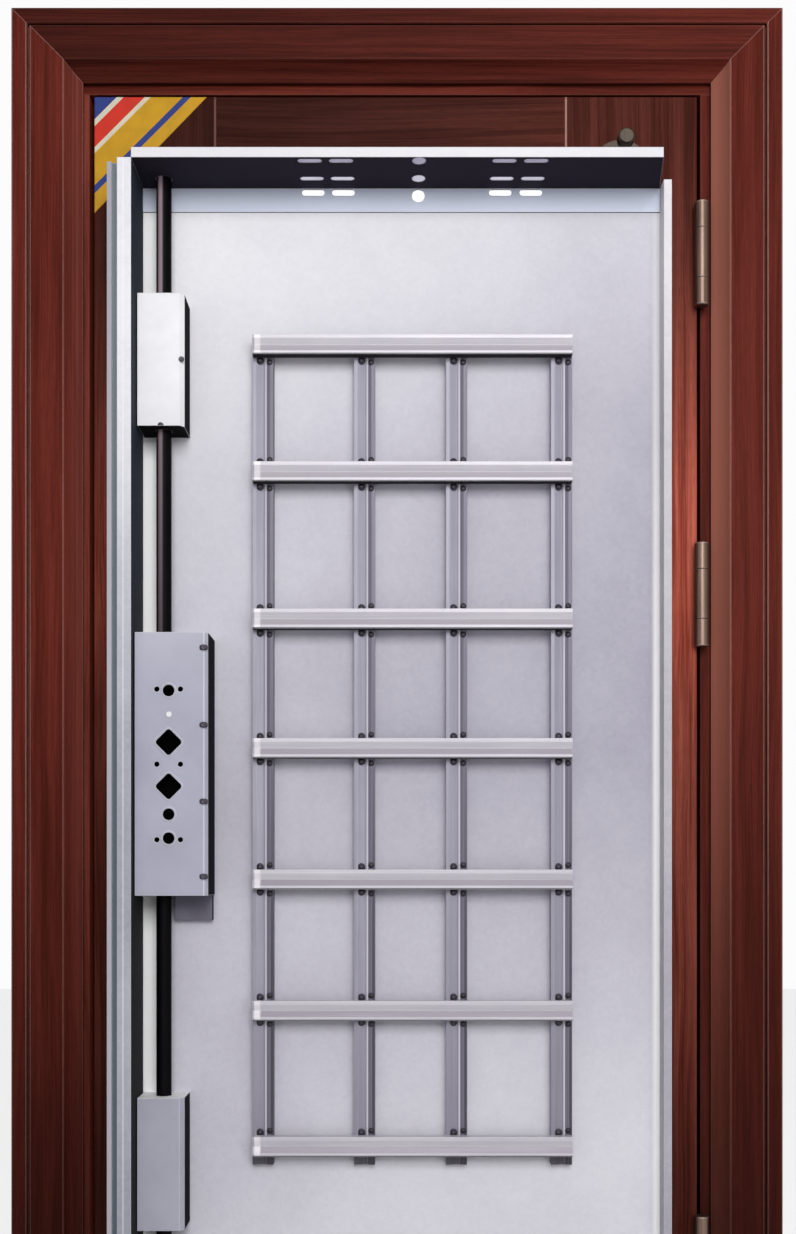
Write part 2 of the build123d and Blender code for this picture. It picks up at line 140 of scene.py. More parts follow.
class Board:
    """A node tree with short calls for adding nodes and joining them."""

    def __init__(self, tree: bpy.types.NodeTree) -> None:
        """Keep the tree that the calls add to."""
        self.tree = tree

    def add(
        self, kind: str, inputs: dict[str | int, Value] | None = None, **settings: object
    ) -> bpy.types.Node:
        """Add one node.

        Args:
            kind: Blender's name of the node's type.
            inputs: A constant or a socket to join for each input.
            **settings: Properties to set on the node.

        Returns:
            The new node.
        """
        node = self.tree.nodes.new(kind)
        for name, value in settings.items():
            setattr(node, name, value)
        for key, value in (inputs or {}).items():
            if isinstance(value, Socket):
                self.join(value, node.inputs[key])
            else:
                node.inputs[key].default_value = value
        return node

    def join(self, source: Socket, target: Socket) -> None:
        """Link an output to an input."""
        self.tree.links.new(source, target)

    def math(
        self, operation: str, first: Value, second: Value = 0.0, third: Value = 0.0
    ) -> Socket:
        """Return one sum, product or other operation on numbers."""
        inputs = {0: first, 1: second, 2: third}
        return self.add("ShaderNodeMath", inputs, operation=operation).outputs[0]

    def vector(self, operation: str, inputs: dict[int, Value], output: int = 0) -> Socket:
        """Return one operation on vectors."""
        return self.add("ShaderNodeVectorMath", inputs, operation=operation).outputs[output]

    def span(
        self, value: Value, low: float, high: float, start: float = 0.0, end: float = 1.0
    ) -> Socket:
        """Return the value's place between low and high, from start to end, with soft ends."""
        inputs = {"Value": value, "From Min": low, "From Max": high, "To Min": start, "To Max": end}
        return self.add("ShaderNodeMapRange", inputs, interpolation_type="SMOOTHSTEP").outputs[0]

    def mix(self, share: Value, first: Value, second: Value, blend: str = "MIX") -> Socket:
        """Return two colours mixed by a share."""
        inputs = {0: share, 6: first, 7: second}
        return self.add("ShaderNodeMix", inputs, data_type="RGBA", blend_type=blend).outputs[2]

    def toned(self, colour: Value, tone: Socket) -> Socket:
        """Return a colour multiplied by a tone."""
        return self.mix(1.0, colour, self.joined(tone, tone, tone), "MULTIPLY")

    def scaled(self, vector: Value, scale: tuple[float, float, float]) -> Socket:
        """Return a vector with each axis multiplied."""
        return self.add("ShaderNodeMapping", {"Vector": vector, "Scale": scale}).outputs[0]

    def noise(
        self, vector: Value, scale: Value, detail: float = 2.0, rough: float = 0.5
    ) -> Socket:
        """Return a soft random value over the surface."""
        inputs = {"Vector": vector, "Scale": scale, "Detail": detail, "Roughness": rough}
        return self.add("ShaderNodeTexNoise", inputs).outputs["Fac"]

    def parts(self, vector: Value) -> tuple[Socket, Socket, Socket]:
        """Return a vector's three numbers."""
        return tuple(self.add("ShaderNodeSeparateXYZ", {0: vector}).outputs)

    def joined(self, x: Value, y: Value, z: Value) -> Socket:
        """Return three numbers as one vector."""
        return self.add("ShaderNodeCombineXYZ", {0: x, 1: y, 2: z}).outputs[0]

    def ramp(self, value: Value, stops: list[tuple[float, Colour]]) -> Socket:
        """Read a colour from a ramp.

        Args:
            value: The place on the ramp, from 0 to 1.
            stops: Places in rising order, each with its colour.

        Returns:
            The colour.
        """
        node = self.add("ShaderNodeValToRGB", {0: value})
        bands = node.color_ramp.elements
        for band, (place, colour) in zip(bands, (stops[0], stops[-1])):
            band.position = place
            band.color = colour
        for place, colour in stops[1:-1]:
            bands.new(place).color = colour
        return node.outputs[0]

    def curve(self, value: Value, stops: Stops) -> Socket:
        """Read a tone off the straight lines between stops.

        Args:
            value: The number that the tone goes by.
            stops: Values in rising order, each with its tone from 0 to 1.

        Returns:
            The tone.
        """
        low, high = stops[0][0], stops[-1][0]
        inputs = {"Value": value, "From Min": low, "From Max": high}
        place = self.add("ShaderNodeMapRange", inputs).outputs[0]
        return self.ramp(
            place, [((stop - low) / (high - low), (tone, tone, tone, 1.0)) for stop, tone in stops]
        )

    def group(self, tree: bpy.types.NodeTree, inputs: dict[str, Value]) -> bpy.types.Node:
        """Place a shared node group and give it this material's values."""
        return self.add("ShaderNodeGroup", inputs, node_tree=tree)


class Effects:
    """Shader node groups that several finishes share, each built once.

    The scales are how many of a pattern's steps fit in a metre, along right, back and up. The spans
    are the values between which a pattern goes from none to full.
    """

    bevel_radius: float = 0.002
    bevel_samples: int = 4
    bend_gain: float = 4.0
    sway_scale: Point = (5.0, 5.0, 1.1)
    sway_share: float = 0.05
    figure_scale: Point = (42.0, 42.0, 1.3)
    figure_span: tuple[float, float] = (0.33, 0.68)
    streak_scale: Point = (230.0, 230.0, 3.2)
    streak_span: tuple[float, float] = (0.34, 0.68)
    pore_scale: Point = (1100.0, 1100.0, 26.0)
    pore_span: tuple[float, float] = (0.52, 0.66)
    cloud_scale: float = 6.0
    cloud_span: tuple[float, float] = (0.3, 0.7)
    skin_scale: float = 700.0
    fine_line_scale: Point = (1500.0, 1500.0, 9.0)
    fine_line_share: float = 0.6
    wide_line_scale: Point = (160.0, 160.0, 2.0)
    line_span: tuple[float, float] = (0.35, 0.65)
    crystal_scale: float = 160.0
    patch_scale: float = 55.0
    jitter_scale: float = 40.0
    jitter: float = 0.02

    def __init__(self) -> None:
        """Build every group."""
        self.edges = self._edges()
        self.wood = self._wood()
        self.mottle = self._mottle()
        self.brushed = self._brushed()
        self.spangle = self._spangle()

    @staticmethod
    def _start(
        name: str, inputs: dict[str, float | None], outputs: tuple[str, ...], vector: str = ""
    ) -> tuple[Board, bpy.types.NodeOutputs, bpy.types.NodeInputs]:
        """Open a new group.

        Args:
            name: The group's name.
            inputs: Each input's starting value, or nothing where it takes a vector.
            outputs: The outputs' names.
            vector: The output that is a vector, where there is one.

        Returns:
            The board, what the group is given, and what it puts out.
        """
        tree = bpy.data.node_groups.new(name, "ShaderNodeTree")
        for label, value in inputs.items():
            kind = "NodeSocketVector" if value is None else "NodeSocketFloat"
            made = tree.interface.new_socket(label, in_out="INPUT", socket_type=kind)
            if value is not None:
                made.default_value = value
        for label in outputs:
            kind = "NodeSocketVector" if label == vector else "NodeSocketFloat"
            tree.interface.new_socket(label, in_out="OUTPUT", socket_type=kind)
        board = Board(tree)
        return board, board.add("NodeGroupInput").outputs, board.add("NodeGroupOutput").inputs

    def _edges(self) -> bpy.types.NodeTree:
        """Make eased edges: the normal rounded over folds, and a mask that is 1 on the fold.

        Returns:
            The group.
        """
        inputs = {"Radius": self.bevel_radius, "Strength": self.bend_gain}
        board, given, out = self._start("eased_edges", inputs, ("Normal", "Edge"), "Normal")
        rounded = {"Radius": given["Radius"]}
        bevel = board.add("ShaderNodeBevel", rounded, samples=self.bevel_samples).outputs[0]
        flat = board.add("ShaderNodeNewGeometry").outputs["True Normal"]
        turn = board.vector("DOT_PRODUCT", {0: bevel, 1: flat}, 1)
        bent = board.math("MULTIPLY", board.math("SUBTRACT", 1.0, turn), given["Strength"])
        board.join(bevel, out["Normal"])
        board.join(board.math("MINIMUM", bent, 1.0), out["Edge"])
        return board.tree

    def _wood(self) -> bpy.types.NodeTree:
        """Make printed wood: figure, streaks and pores of grain that runs along the vector's Z.

        Returns:
            The group.
        """
        inputs = {"Vector": None, "Fineness": 1.0}
        board, given, out = self._start("wood_grain", inputs, ("Figure", "Streaks", "Pores"))
        place = board.vector("SCALE", {0: given["Vector"], 3: given["Fineness"]})
        sway = board.noise(board.scaled(place, self.sway_scale), 1.0)
        x, y, z = board.parts(place)
        swayed = board.joined(board.math("MULTIPLY_ADD", sway, self.sway_share, x), y, z)
        figure = board.noise(board.scaled(swayed, self.figure_scale), 1.0, 4.0, 0.6)
        streaks = board.noise(board.scaled(swayed, self.streak_scale), 1.0, 3.0, 0.6)
        pores = board.noise(board.scaled(place, self.pore_scale), 1.0, 1.0)
        board.join(board.span(figure, *self.figure_span), out["Figure"])
        board.join(board.span(streaks, *self.streak_span), out["Streaks"])
        board.join(board.span(pores, *self.pore_span), out["Pores"])
        return board.tree

    def _mottle(self) -> bpy.types.NodeTree:
        """Make soft mottle: wide clouds with finer ones in them, and a fine skin for bump.

        Returns:
            The group.
        """
        inputs = {"Vector": None, "Scale": self.cloud_scale}
        board, given, out = self._start("soft_mottle", inputs, ("Clouds", "Skin"))
        clouds = board.noise(given["Vector"], given["Scale"], 5.0, 0.55)
        board.join(board.span(clouds, *self.cloud_span), out["Clouds"])
        board.join(board.noise(given["Vector"], self.skin_scale), out["Skin"])
        return board.tree

    def _brushed(self) -> bpy.types.NodeTree:
        """Make brush lines: fine lines along the vector's Z, in wide and narrow bands.

        Returns:
            The group.
        """
        board, given, out = self._start("brush_lines", {"Vector": None}, ("Lines",))
        fine = board.noise(board.scaled(given["Vector"], self.fine_line_scale), 1.0)
        wide = board.noise(board.scaled(given["Vector"], self.wide_line_scale), 1.0, 3.0)
        fine = board.math("MULTIPLY", fine, self.fine_line_share)
        both = board.math("MULTIPLY_ADD", wide, 1 - self.fine_line_share, fine)
        board.join(board.span(both, *self.line_span), out["Lines"])
        return board.tree

    def _spangle(self) -> bpy.types.NodeTree:
        """Make zinc spangle: crystals of a few millimetres, each a little lighter or darker.

        Returns:
            The group.
        """
        board, given, out = self._start("zinc_spangle", {"Vector": None}, ("Crystals",))
        place = given["Vector"]
        wander = board.noise(place, self.jitter_scale)
        shift = {0: place, 1: board.joined(wander, wander, wander), 2: (self.jitter,) * 3}
        pushed = board.vector("MULTIPLY_ADD", shift)
        small = {"Vector": place, "Scale": self.crystal_scale}
        large = {"Vector": pushed, "Scale": self.patch_scale}
        near = board.parts(board.add("ShaderNodeTexVoronoi", small).outputs["Color"])[0]
        far = board.parts(board.add("ShaderNodeTexVoronoi", large).outputs["Color"])[1]
        board.join(board.math("MULTIPLY", board.math("ADD", near, far), 0.5), out["Crystals"])
        return board.tree


EFFECTS = Effects()


@dataclass(frozen=True)
class Coat:
    """What a finish lays on a surface: its colour and its fine relief.

    The gloss is the roughness where it varies, the next value is how strongly the painted highlight
    shows on the folds, from 0 to 1, and the glow is how strongly the colour shines by itself.
    """

    colour: Socket
    height: Socket
    gloss: Value | None = None
    fold_highlight_tone: Value = 1.0
    glow: float = 0.0


@dataclass(frozen=True)
class Finish:
    """What every finish shares: its name, gloss and relief, its painted fold highlight and its
    clouds.

    The highlight's gain is how fast the painted highlight comes up as a fold bends, and the clouds'
    scale is how many of them fit in a metre.
    """

    name: str
    edge_radius: float = 0.0018
    roughness: float = 0.4
    metallic: float = 0.0
    bump_depth: float = 0.00004
    specular: float = 0.35
    # The edge colour is a painted highlight on folds, with its share and gain below.
    edge: str = "#ffffff"
    edge_share: float = 0.0
    edge_gain: float = 5.0
    clouds: float = 0.1
    cloud_scale: float = 9.0
    patches: tuple[Patch, ...] = ()

    def build(self) -> bpy.types.Material:
        """Make the material: the finish's own coat, with its patches and the painted highlight on its
        folds.

        Returns:
            The material.
        """
        material = bpy.data.materials.new(self.name)
        material.use_nodes = True
        shader = material.node_tree.nodes["Principled BSDF"].inputs
        shader["Metallic"].default_value = self.metallic
        shader["Roughness"].default_value = self.roughness
        shader["Specular IOR Level"].default_value = self.specular
        board = Board(material.node_tree)
        coat = self.lay(board, board.add("ShaderNodeTexCoord").outputs["Object"])
        if coat.glow:
            board.join(coat.colour, shader["Emission Color"])
            shader["Emission Strength"].default_value = coat.glow
        colour, gloss = self.patched(board, coat)
        if isinstance(gloss, Socket):
            board.join(gloss, shader["Roughness"])
        given = {"Radius": self.edge_radius, "Strength": self.edge_gain}
        edges = board.group(EFFECTS.edges, given).outputs
        # Painted highlight: the edge colour mixed in where the surface folds, standing in for the
        # light that folds catch.
        share = board.math("MULTIPLY", coat.fold_highlight_tone, self.edge_share)
        painted_fold_highlight = board.math("MULTIPLY", edges["Edge"], share)
        board.join(board.mix(painted_fold_highlight, colour, linear(self.edge)), shader["Base Color"])
        relief = {
            "Height": coat.height,
            "Distance": self.bump_depth,
            "Strength": 1.0,
            "Normal": edges["Normal"],
        }
        board.join(board.add("ShaderNodeBump", relief).outputs[0], shader["Normal"])
        return material

    def lay(self, board: Board, place: Socket) -> Coat:
        """Lay the coat, in the way that each kind of finish has.

        Args:
            board: The material's board.
            place: Object coordinates.

        Returns:
            The coat.
        """
        raise NotImplementedError

    def mottle(self, board: Board, place: Socket) -> bpy.types.NodeOutputs:
        """Return the soft mottle at this finish's scale: its clouds and its skin."""
        given = {"Vector": place, "Scale": self.cloud_scale}
        return board.group(EFFECTS.mottle, given).outputs

    def gloss_by(self, board: Board, mask: Socket, change: float) -> Socket:
        """Return the roughness, changed by a mask evenly about the finish's own."""
        return board.math("MULTIPLY_ADD", mask, change, self.roughness - change / 2)

    def patched(self, board: Board, coat: Coat) -> tuple[Socket, Value]:
        """Lay the finish's patches over its coat, each inside its two values with soft ends.

        Args:
            board: The material's board.
            coat: The coat under the patches.

        Returns:
            The colour and the roughness with the patches on them.
        """
        colour, gloss = coat.colour, self.roughness if coat.gloss is None else coat.gloss
        source = board.add("ShaderNodeTexCoord").outputs
        for patch in self.patches:
            value = board.parts(source[patch.reading.value])[patch.axis]
            after = board.span(value, patch.low - patch.soft, patch.low + patch.soft)
            before = board.span(value, patch.high - patch.soft, patch.high + patch.soft, 1.0, 0.0)
            share = board.math("MULTIPLY", board.math("MULTIPLY", after, before), patch.share)
            if patch.levels:
                height = board.parts(source["Object"])[Axis.UP]
                grown = board.span(height, *patch.levels, patch.low_share, 1.0)
                share = board.math("MULTIPLY", share, grown)
            colour = board.mix(share, colour, linear(patch.colour))
            if patch.dull:
                gloss = board.math("MAXIMUM", gloss, board.math("MULTIPLY", share, patch.dull))
        return colour, gloss


def along_grain(board: Board, place: Socket, run: Run) -> Socket:
    """Turn the coordinates so that the grain runs along Z, whichever way it runs on the piece.

    Args:
        board: The board that the nodes go on.
        place: Object coordinates.
        run: Which way the grain runs.

    Returns:
        The coordinates with the run along Z.
    """
    if run is Run.UPRIGHT:
        return place
    x, y, z = board.parts(place)
    return board.joined(z, y, x)


@dataclass(frozen=True)
class WoodFoil(Finish):
    """Printed wood foil under lacquer: figure, streaks and pores, with a painted highlight on the
    folds.

    The tone is painted light and shade: one curve up the door and one to the right, and the pressed
    lines carry a painted highlight. On a framed piece the grain turns across between the two pressed
    lines, below and above the band levels.
    """

    dark: str = "#2a0d09"
    mid: str = "#4d2018"
    light: str = "#6d3227"
    edge: str = "#8d5a50"
    edge_share: float = 0.55
    run: Run = Run.UPRIGHT
    fineness: float = 1.0
    # Painted light and shade: tone multipliers by height and by how far right.
    painted_light_up: Stops = ((0.4, 0.29), (1.25, 1.0))
    sideways: Stops = ((-0.5, 1.0), (0.5, 1.0))
    band_levels: tuple[float, float] = (0.0, 0.0)
    lines: tuple[float, float] | None = None
    line_half: float = 0.0016
    # Painted highlight along the two pressed lines, stronger on the right one.
    line_highlight: str = "#b98a7e"
    line_highlight_shares: tuple[float, float] = (0.3, 0.85)
    colour_places: tuple[float, float, float] = (0.08, 0.5, 0.92)
    figure_share: float = 0.6
    pore_share: float = 0.45
    streak_gloss: float = 0.12

    def lay(self, board: Board, place: Socket) -> Coat:
        """Mix the wood's colours by figure and streaks, darken the pores, and tone by place with
        painted light and shade.

        Args:
            board: The material's board.
            place: Object coordinates.

        Returns:
            The coat.
        """
        x, _, z = board.parts(place)
        figure, streaks, pores = self._grain(board, place, x, z)
        figured = board.math("MULTIPLY", figure, self.figure_share)
        tone = board.math("MULTIPLY_ADD", streaks, 1 - self.figure_share, figured)
        codes = (self.dark, self.mid, self.light)
        colour = board.ramp(tone, list(zip(self.colour_places, map(linear, codes))))
        deep = board.math("MULTIPLY", pores, self.pore_share)
        colour = board.mix(deep, colour, linear(self.dark))
        # Painted light and shade by height and side; the painted fold highlight fades with it.
        shade = board.math("MULTIPLY", board.curve(z, self.painted_light_up), board.curve(x, self.sideways))
        colour = board.toned(colour, shade)
        # Painted highlight on the pressed lines.
        if self.lines:
            colour = board.mix(self._line_share(board, x), colour, linear(self.line_highlight))
        return Coat(colour, streaks, self.gloss_by(board, streaks, self.streak_gloss), shade)

    def _grain(self, board: Board, place: Socket, x: Socket, z: Socket) -> list[Socket]:
        """Read the grain's masks, upright, across or both.

        Args:
            board: The material's board.
            place: Object coordinates.
            x: How far right a point is.
            z: How far up it is.

        Returns:
            Figure, streaks and pores.
        """
        names = ("Figure", "Streaks", "Pores")
        given = {"Vector": place, "Fineness": self.fineness}
        upright = board.group(EFFECTS.wood, given).outputs
        if self.run is Run.UPRIGHT:
            return [upright[name] for name in names]
        given["Vector"] = along_grain(board, place, Run.ACROSS)
        across = board.group(EFFECTS.wood, given).outputs
        share = self._band_share(board, x, z) if self.run is Run.FRAMED else 1.0
        return [
            board.add("ShaderNodeMix", {0: share, 2: upright[name], 3: across[name]}).outputs[0]
            for name in names
        ]

    def _band_share(self, board: Board, x: Socket, z: Socket) -> Socket:
        """Pick out the bands between the two pressed lines, at the leaf's top and bottom.

        Args:
            board: The material's board.
            x: How far right a point is.
            z: How far up it is.

        Returns:
            1 on the bands and 0 elsewhere.
        """
        low, high = self.band_levels
        left, right = self.lines
        below, above = board.math("LESS_THAN", z, low), board.math("GREATER_THAN", z, high)
        after, before = board.math("GREATER_THAN", x, left), board.math("LESS_THAN", x, right)
        ends = board.math("MAXIMUM", below, above)
        return board.math("MULTIPLY", ends, board.math("MULTIPLY", after, before))

    def _line_share(self, board: Board, x: Socket) -> Socket:
        """Pick out the two pressed lines for their painted highlight: within half a line's width of
        either line's place.

        Args:
            board: The material's board.
            x: How far right a point is.

        Returns:
            Each line's share on it, and 0 elsewhere.
        """
        shares = []
        for line, share in zip(self.lines, self.line_highlight_shares):
            off = board.math("ABSOLUTE", board.math("SUBTRACT", x, line))
            on_line = board.math("LESS_THAN", off, self.line_half)
            shares.append(board.math("MULTIPLY", on_line, share))
        return board.math("MAXIMUM", *shares)


@dataclass(frozen=True)
class ZincSheet(Finish):
    """Zinc-coated sheet: faint crystals and clouds in a painted shade that follows height and side.

    The dark tone's share is painted shade: a curve up the door, plus a gain for how far right a point
    is, which runs from one value to another between the slope's two heights.
    """

    light: str = "#ebeaf0"
    dark: str = "#bab7c5"
    edge: str = "#f6f5f9"
    edge_share: float = 0.6
    spangle: float = 0.12
    clouds: float = 0.25
    cloud_scale: float = 3.2
    # Painted shade: the span to the right, its gain by height, and the curve up the door.
    across: tuple[float, float] = (-0.36, 0.38)
    slope: tuple[tuple[float, float], tuple[float, float]] = ((0.3, 0.0), (1.2, 0.0))
    painted_light_up: Stops = ((0.2, 0.45), (1.85, 0.0))
    crystal_gloss: float = 0.1

    def lay(self, board: Board, place: Socket) -> Coat:
        """Mix two tones as painted shade by height and by how far right, with crystals and clouds in
        them.

        Args:
            board: The material's board.
            place: Object coordinates.

        Returns:
            The coat.
        """
        x, _, z = board.parts(place)
        # Painted shade: the dark share by how far right and by height.
        (low, low_gain), (high, high_gain) = self.slope
        gain = board.span(z, low, high, low_gain, high_gain)
        right = board.math("MULTIPLY", board.span(x, *self.across), gain)
        mottle = self.mottle(board, place)
        crystals = board.group(EFFECTS.spangle, {"Vector": place}).outputs["Crystals"]
        dark = board.math("ADD", right, board.curve(z, self.painted_light_up))
        for mask, share in ((mottle["Clouds"], self.clouds), (crystals, self.spangle)):
            centred = board.math("SUBTRACT", mask, 0.5)
            dark = board.math("MULTIPLY_ADD", centred, share, dark)
        dark = board.add("ShaderNodeClamp", {0: dark}).outputs[0]
        colour = board.mix(dark, linear(self.light), linear(self.dark))
        return Coat(colour, mottle["Skin"], self.gloss_by(board, crystals, self.crystal_gloss))


@dataclass(frozen=True)
class BrushedMetal(Finish):
    """Bare or coated metal with brush lines along its length, and a painted highlight on its folds.
    """

    light: str = "#a9a8b5"
    dark: str = "#77747f"
    edge: str = "#e6e0e8"
    edge_share: float = 0.8
    run: Run = Run.UPRIGHT
    clouds: float = 0.35
    line_gloss: float = 0.14

    def lay(self, board: Board, place: Socket) -> Coat:
        """Mix two tones by brush lines and clouds.

        Args:
            board: The material's board.
            place: Object coordinates.

        Returns:
            The coat.
        """
        given = {"Vector": along_grain(board, place, self.run)}
        lines = board.group(EFFECTS.brushed, given).outputs["Lines"]
        lined = board.math("MULTIPLY", lines, 1 - self.clouds)
        clouds = self.mottle(board, place)["Clouds"]
        share = board.math("MULTIPLY_ADD", clouds, self.clouds, lined)
        colour = board.mix(share, linear(self.dark), linear(self.light))
        return Coat(colour, lines, self.gloss_by(board, lines, self.line_gloss))


@dataclass(frozen=True)
class CoverPaint(Finish):
    """Baked paint on the lock covers, with painted shade that darkens it down the door, and fine
    orange peel.
    """

    # Painted light and shade: bright at the top, darker down the door.
    top: str = "#f8f7fb"
    middle: str = "#b1b1c2"
    low: str = "#abaab8"
    levels: tuple[float, float, float] = (0.45, 1.1, 1.6)
    edge: str = "#f7f6fa"
    edge_share: float = 0.75
    cloud_scale: float = 14.0
    base_tone: float = 0.92

    def lay(self, board: Board, place: Socket) -> Coat:
        """Mix three tones by height as painted shade, with clouds in them.

        Args:
            board: The material's board.
            place: Object coordinates.

        Returns:
            The coat.
        """
        z = board.parts(place)[Axis.UP]
        low, middle, top = self.levels
        colour = board.mix(board.span(z, low, middle), linear(self.low), linear(self.middle))
        colour = board.mix(board.span(z, middle, top), colour, linear(self.top))
        mottle = self.mottle(board, place)
        tone = board.math("MULTIPLY_ADD", mottle["Clouds"], self.clouds, self.base_tone)
        return Coat(board.toned(colour, tone), mottle["Skin"])


@dataclass(frozen=True)
class PlainCoat(Finish):
    """A plain coat, such as rubber or black lacquer, with clouds, a fine skin and a painted fold
    highlight.
    """

    colour: str = "#101012"
    cloud_colour: str = "#1b1b1f"
    edge: str = "#3a3a40"
    edge_share: float = 0.4
    cloud_scale: float = 30.0
    glow: float = 0.0

    def lay(self, board: Board, place: Socket) -> Coat:
        """Mix two close tones by clouds.

        Args:
            board: The material's board.
            place: Object coordinates.

        Returns:
            The coat.
        """
        mottle = self.mottle(board, place)
        colour = board.mix(mottle["Clouds"], linear(self.colour), linear(self.cloud_colour))
        return Coat(colour, mottle["Skin"], glow=self.glow)


@dataclass(frozen=True)
class StripedLabel(Finish):
    """Printed film with plain diagonal stripes, each from its distance off the corner on."""

    stripes: tuple[tuple[float, str], ...] = (
        (0.0, "#24357e"),
        (0.022, "#d8d0b8"),
        (0.029, "#cf2c17"),
        (0.050, "#d8d0b8"),
        (0.056, "#c8960c"),
        (0.088, "#24357e"),
        (0.096, "#c8960c"),
    )
    corner: tuple[float, float] = (0.0, 0.0)
    cloud_scale: float = 40.0
    clouds: float = 0.14

    def lay(self, board: Board, place: Socket) -> Coat:
        """Pick the stripe by right minus up from the corner, over root two.

        Args:
            board: The material's board.
            place: Object coordinates.

        Returns:
            The coat.
        """
        x, _, z = board.parts(place)
        right, up = self.corner
        across = board.math("SUBTRACT", board.math("SUBTRACT", x, right), z)
        distance = board.math("DIVIDE", board.math("ADD", across, up), math.sqrt(2))
        colour = linear(self.stripes[0][1])
        for start, code in self.stripes[1:]:
            colour = board.mix(board.math("GREATER_THAN", distance, start), colour, linear(code))
        mottle = self.mottle(board, place)
        tone = board.math("MULTIPLY_ADD", mottle["Clouds"], self.clouds, 1 - self.clouds)
        return Coat(board.toned(colour, tone), mottle["Skin"])


def dress(node: str, finish: Finish | bpy.types.Material) -> None:
    """Give a CAD node its finish, built here where it isn't built yet.

    Args:
        node: The node's name.
        finish: The finish, or a material that several nodes share.
    """
    material = finish.build() if isinstance(finish, Finish) else finish
    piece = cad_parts[node]
    if not piece.material_slots:
        piece.data.materials.append(material)
    for slot in piece.material_slots:
        slot.material = material


def sheet_faces(rows: int, columns: int) -> np.ndarray:
    """Join a grid of points into quads: each point with its right, upper right and upper neighbour.

    Args:
        rows: How many rows of points there are.
        columns: How many points are in a row.

    Returns:
        One quad a row, running anticlockwise.
    """
    first = np.arange(rows - 1)[:, None] * columns + np.arange(columns - 1)
    quads = np.stack([first, first + 1, first + columns + 1, first + columns], axis=-1)
    return quads.reshape(-1, 4)


def closed_shell(rings: np.ndarray) -> tuple[np.ndarray, list[list[int]]]:
    """Close a stack of rings into a shell with a pole at the middle of its first and last ring.

    The surface is a grid: ring number one way, place round the ring the other way, and the last
    point of each ring joins the first. Each pole is the mean of its ring.

    Args:
        rings: Points as an array of ring, place and coordinate, anticlockwise seen from the end.

    Returns:
        The points and the faces.
    """
    count, sides, _ = rings.shape
    points = np.vstack([rings.reshape(-1, 3), rings[0].mean(axis=0), rings[-1].mean(axis=0)])
    place = np.arange(sides)
    after = (place + 1) % sides
    row = np.arange(count - 1)[:, None] * sides
    quads = np.stack([row + place, row + after, row + sides + after, row + sides + place], axis=-1)
    last = (count - 1) * sides
    first_pole = np.full(sides, count * sides)
    start = np.stack([first_pole, after, place], axis=-1)
    end = np.stack([first_pole + 1, last + place, last + after], axis=-1)
    return points, quads.reshape(-1, 4).tolist() + start.tolist() + end.tolist()


def stacked(outlines: np.ndarray, heights: np.ndarray) -> np.ndarray:
    """Stack flat outlines into rings: every point of an outline gets that outline's height.

    Args:
        outlines: Flat points as an array of ring, place and coordinate.
        heights: The height of each ring.

    Returns:
        The rings as an array of ring, place and coordinate.
    """
    level = np.broadcast_to(heights[:, None, None], (*outlines.shape[:2], 1))
    return np.concatenate([outlines, level], axis=-1)


def turned(profile: Pairs, sides: int) -> np.ndarray:
    """Turn a profile round the outward axis: each radius gives a circle at its point's height.

    Args:
        profile: Radius and height of each ring, from the seat outwards.
        sides: Points round each ring.

    Returns:
        The rings as an array of ring, place and coordinate.
    """
    radius, height = np.array(profile, float).T
    angle = np.linspace(0, 2 * math.pi, sides, endpoint=False)
    circle = np.stack([np.cos(angle), np.sin(angle)], axis=-1)
    return stacked(radius[:, None, None] * circle, height)


def pressed(half: tuple[float, float], steps: Pairs, power: float, sides: int) -> np.ndarray:
    """Stack shrinking copies of a rounded outline: a superellipse, squarer with a higher power.

    Args:
        half: Half the outline's width and height.
        steps: How far each ring is drawn in, and its height, from the seat outwards.
        power: 2 is an ellipse, and more is squarer.
        sides: Points round each ring.

    Returns:
        The rings as an array of ring, place and coordinate.
    """
    inset, height = np.array(steps, float).T
    angle = np.linspace(0, 2 * math.pi, sides, endpoint=False)
    shape = [np.sign(f) * np.abs(f) ** (2 / power) for f in (np.cos(angle), np.sin(angle))]
    reach = np.array(half)[None, :] - inset[:, None]
    return stacked(reach[:, None, :] * np.stack(shape, axis=-1), height)


def stadium(length: float, width: float, steps: Pairs, sides: int) -> np.ndarray:
    """Stack shrinking copies of a slot's outline: a circle with its two halves pulled apart.

    Args:
        length: The slot's whole length.
        width: The slot's width.
        steps: How far each ring is drawn in, and its height, from the seat outwards.
        sides: Points round each ring.

    Returns:
        The rings as an array of ring, place and coordinate.
    """
    inset, height = np.array(steps, float).T
    angle = (np.arange(sides) + 0.5) * 2 * math.pi / sides
    circle = np.stack([np.cos(angle), np.sin(angle)], axis=-1)
    pull = np.stack([np.sign(np.cos(angle)), np.zeros(sides)], axis=-1) * (length - width) / 2
    return stacked((width / 2 - inset)[:, None, None] * circle + pull, height)


@dataclass(frozen=True)
class Turning:
    """A small turned shape: its radius, and each ring's share of the radius and height."""

    radius: float
    profile: Pairs
    sides: int = 20

    @property
    def rise(self) -> float:
        """Return how far the shape stands off its seat."""
        return max(height for _, height in self.profile)

    def rings(self) -> np.ndarray:
        """Return the rings, turned round the outward axis."""
        return turned([(self.radius * share, up) for share, up in self.profile], self.sides)


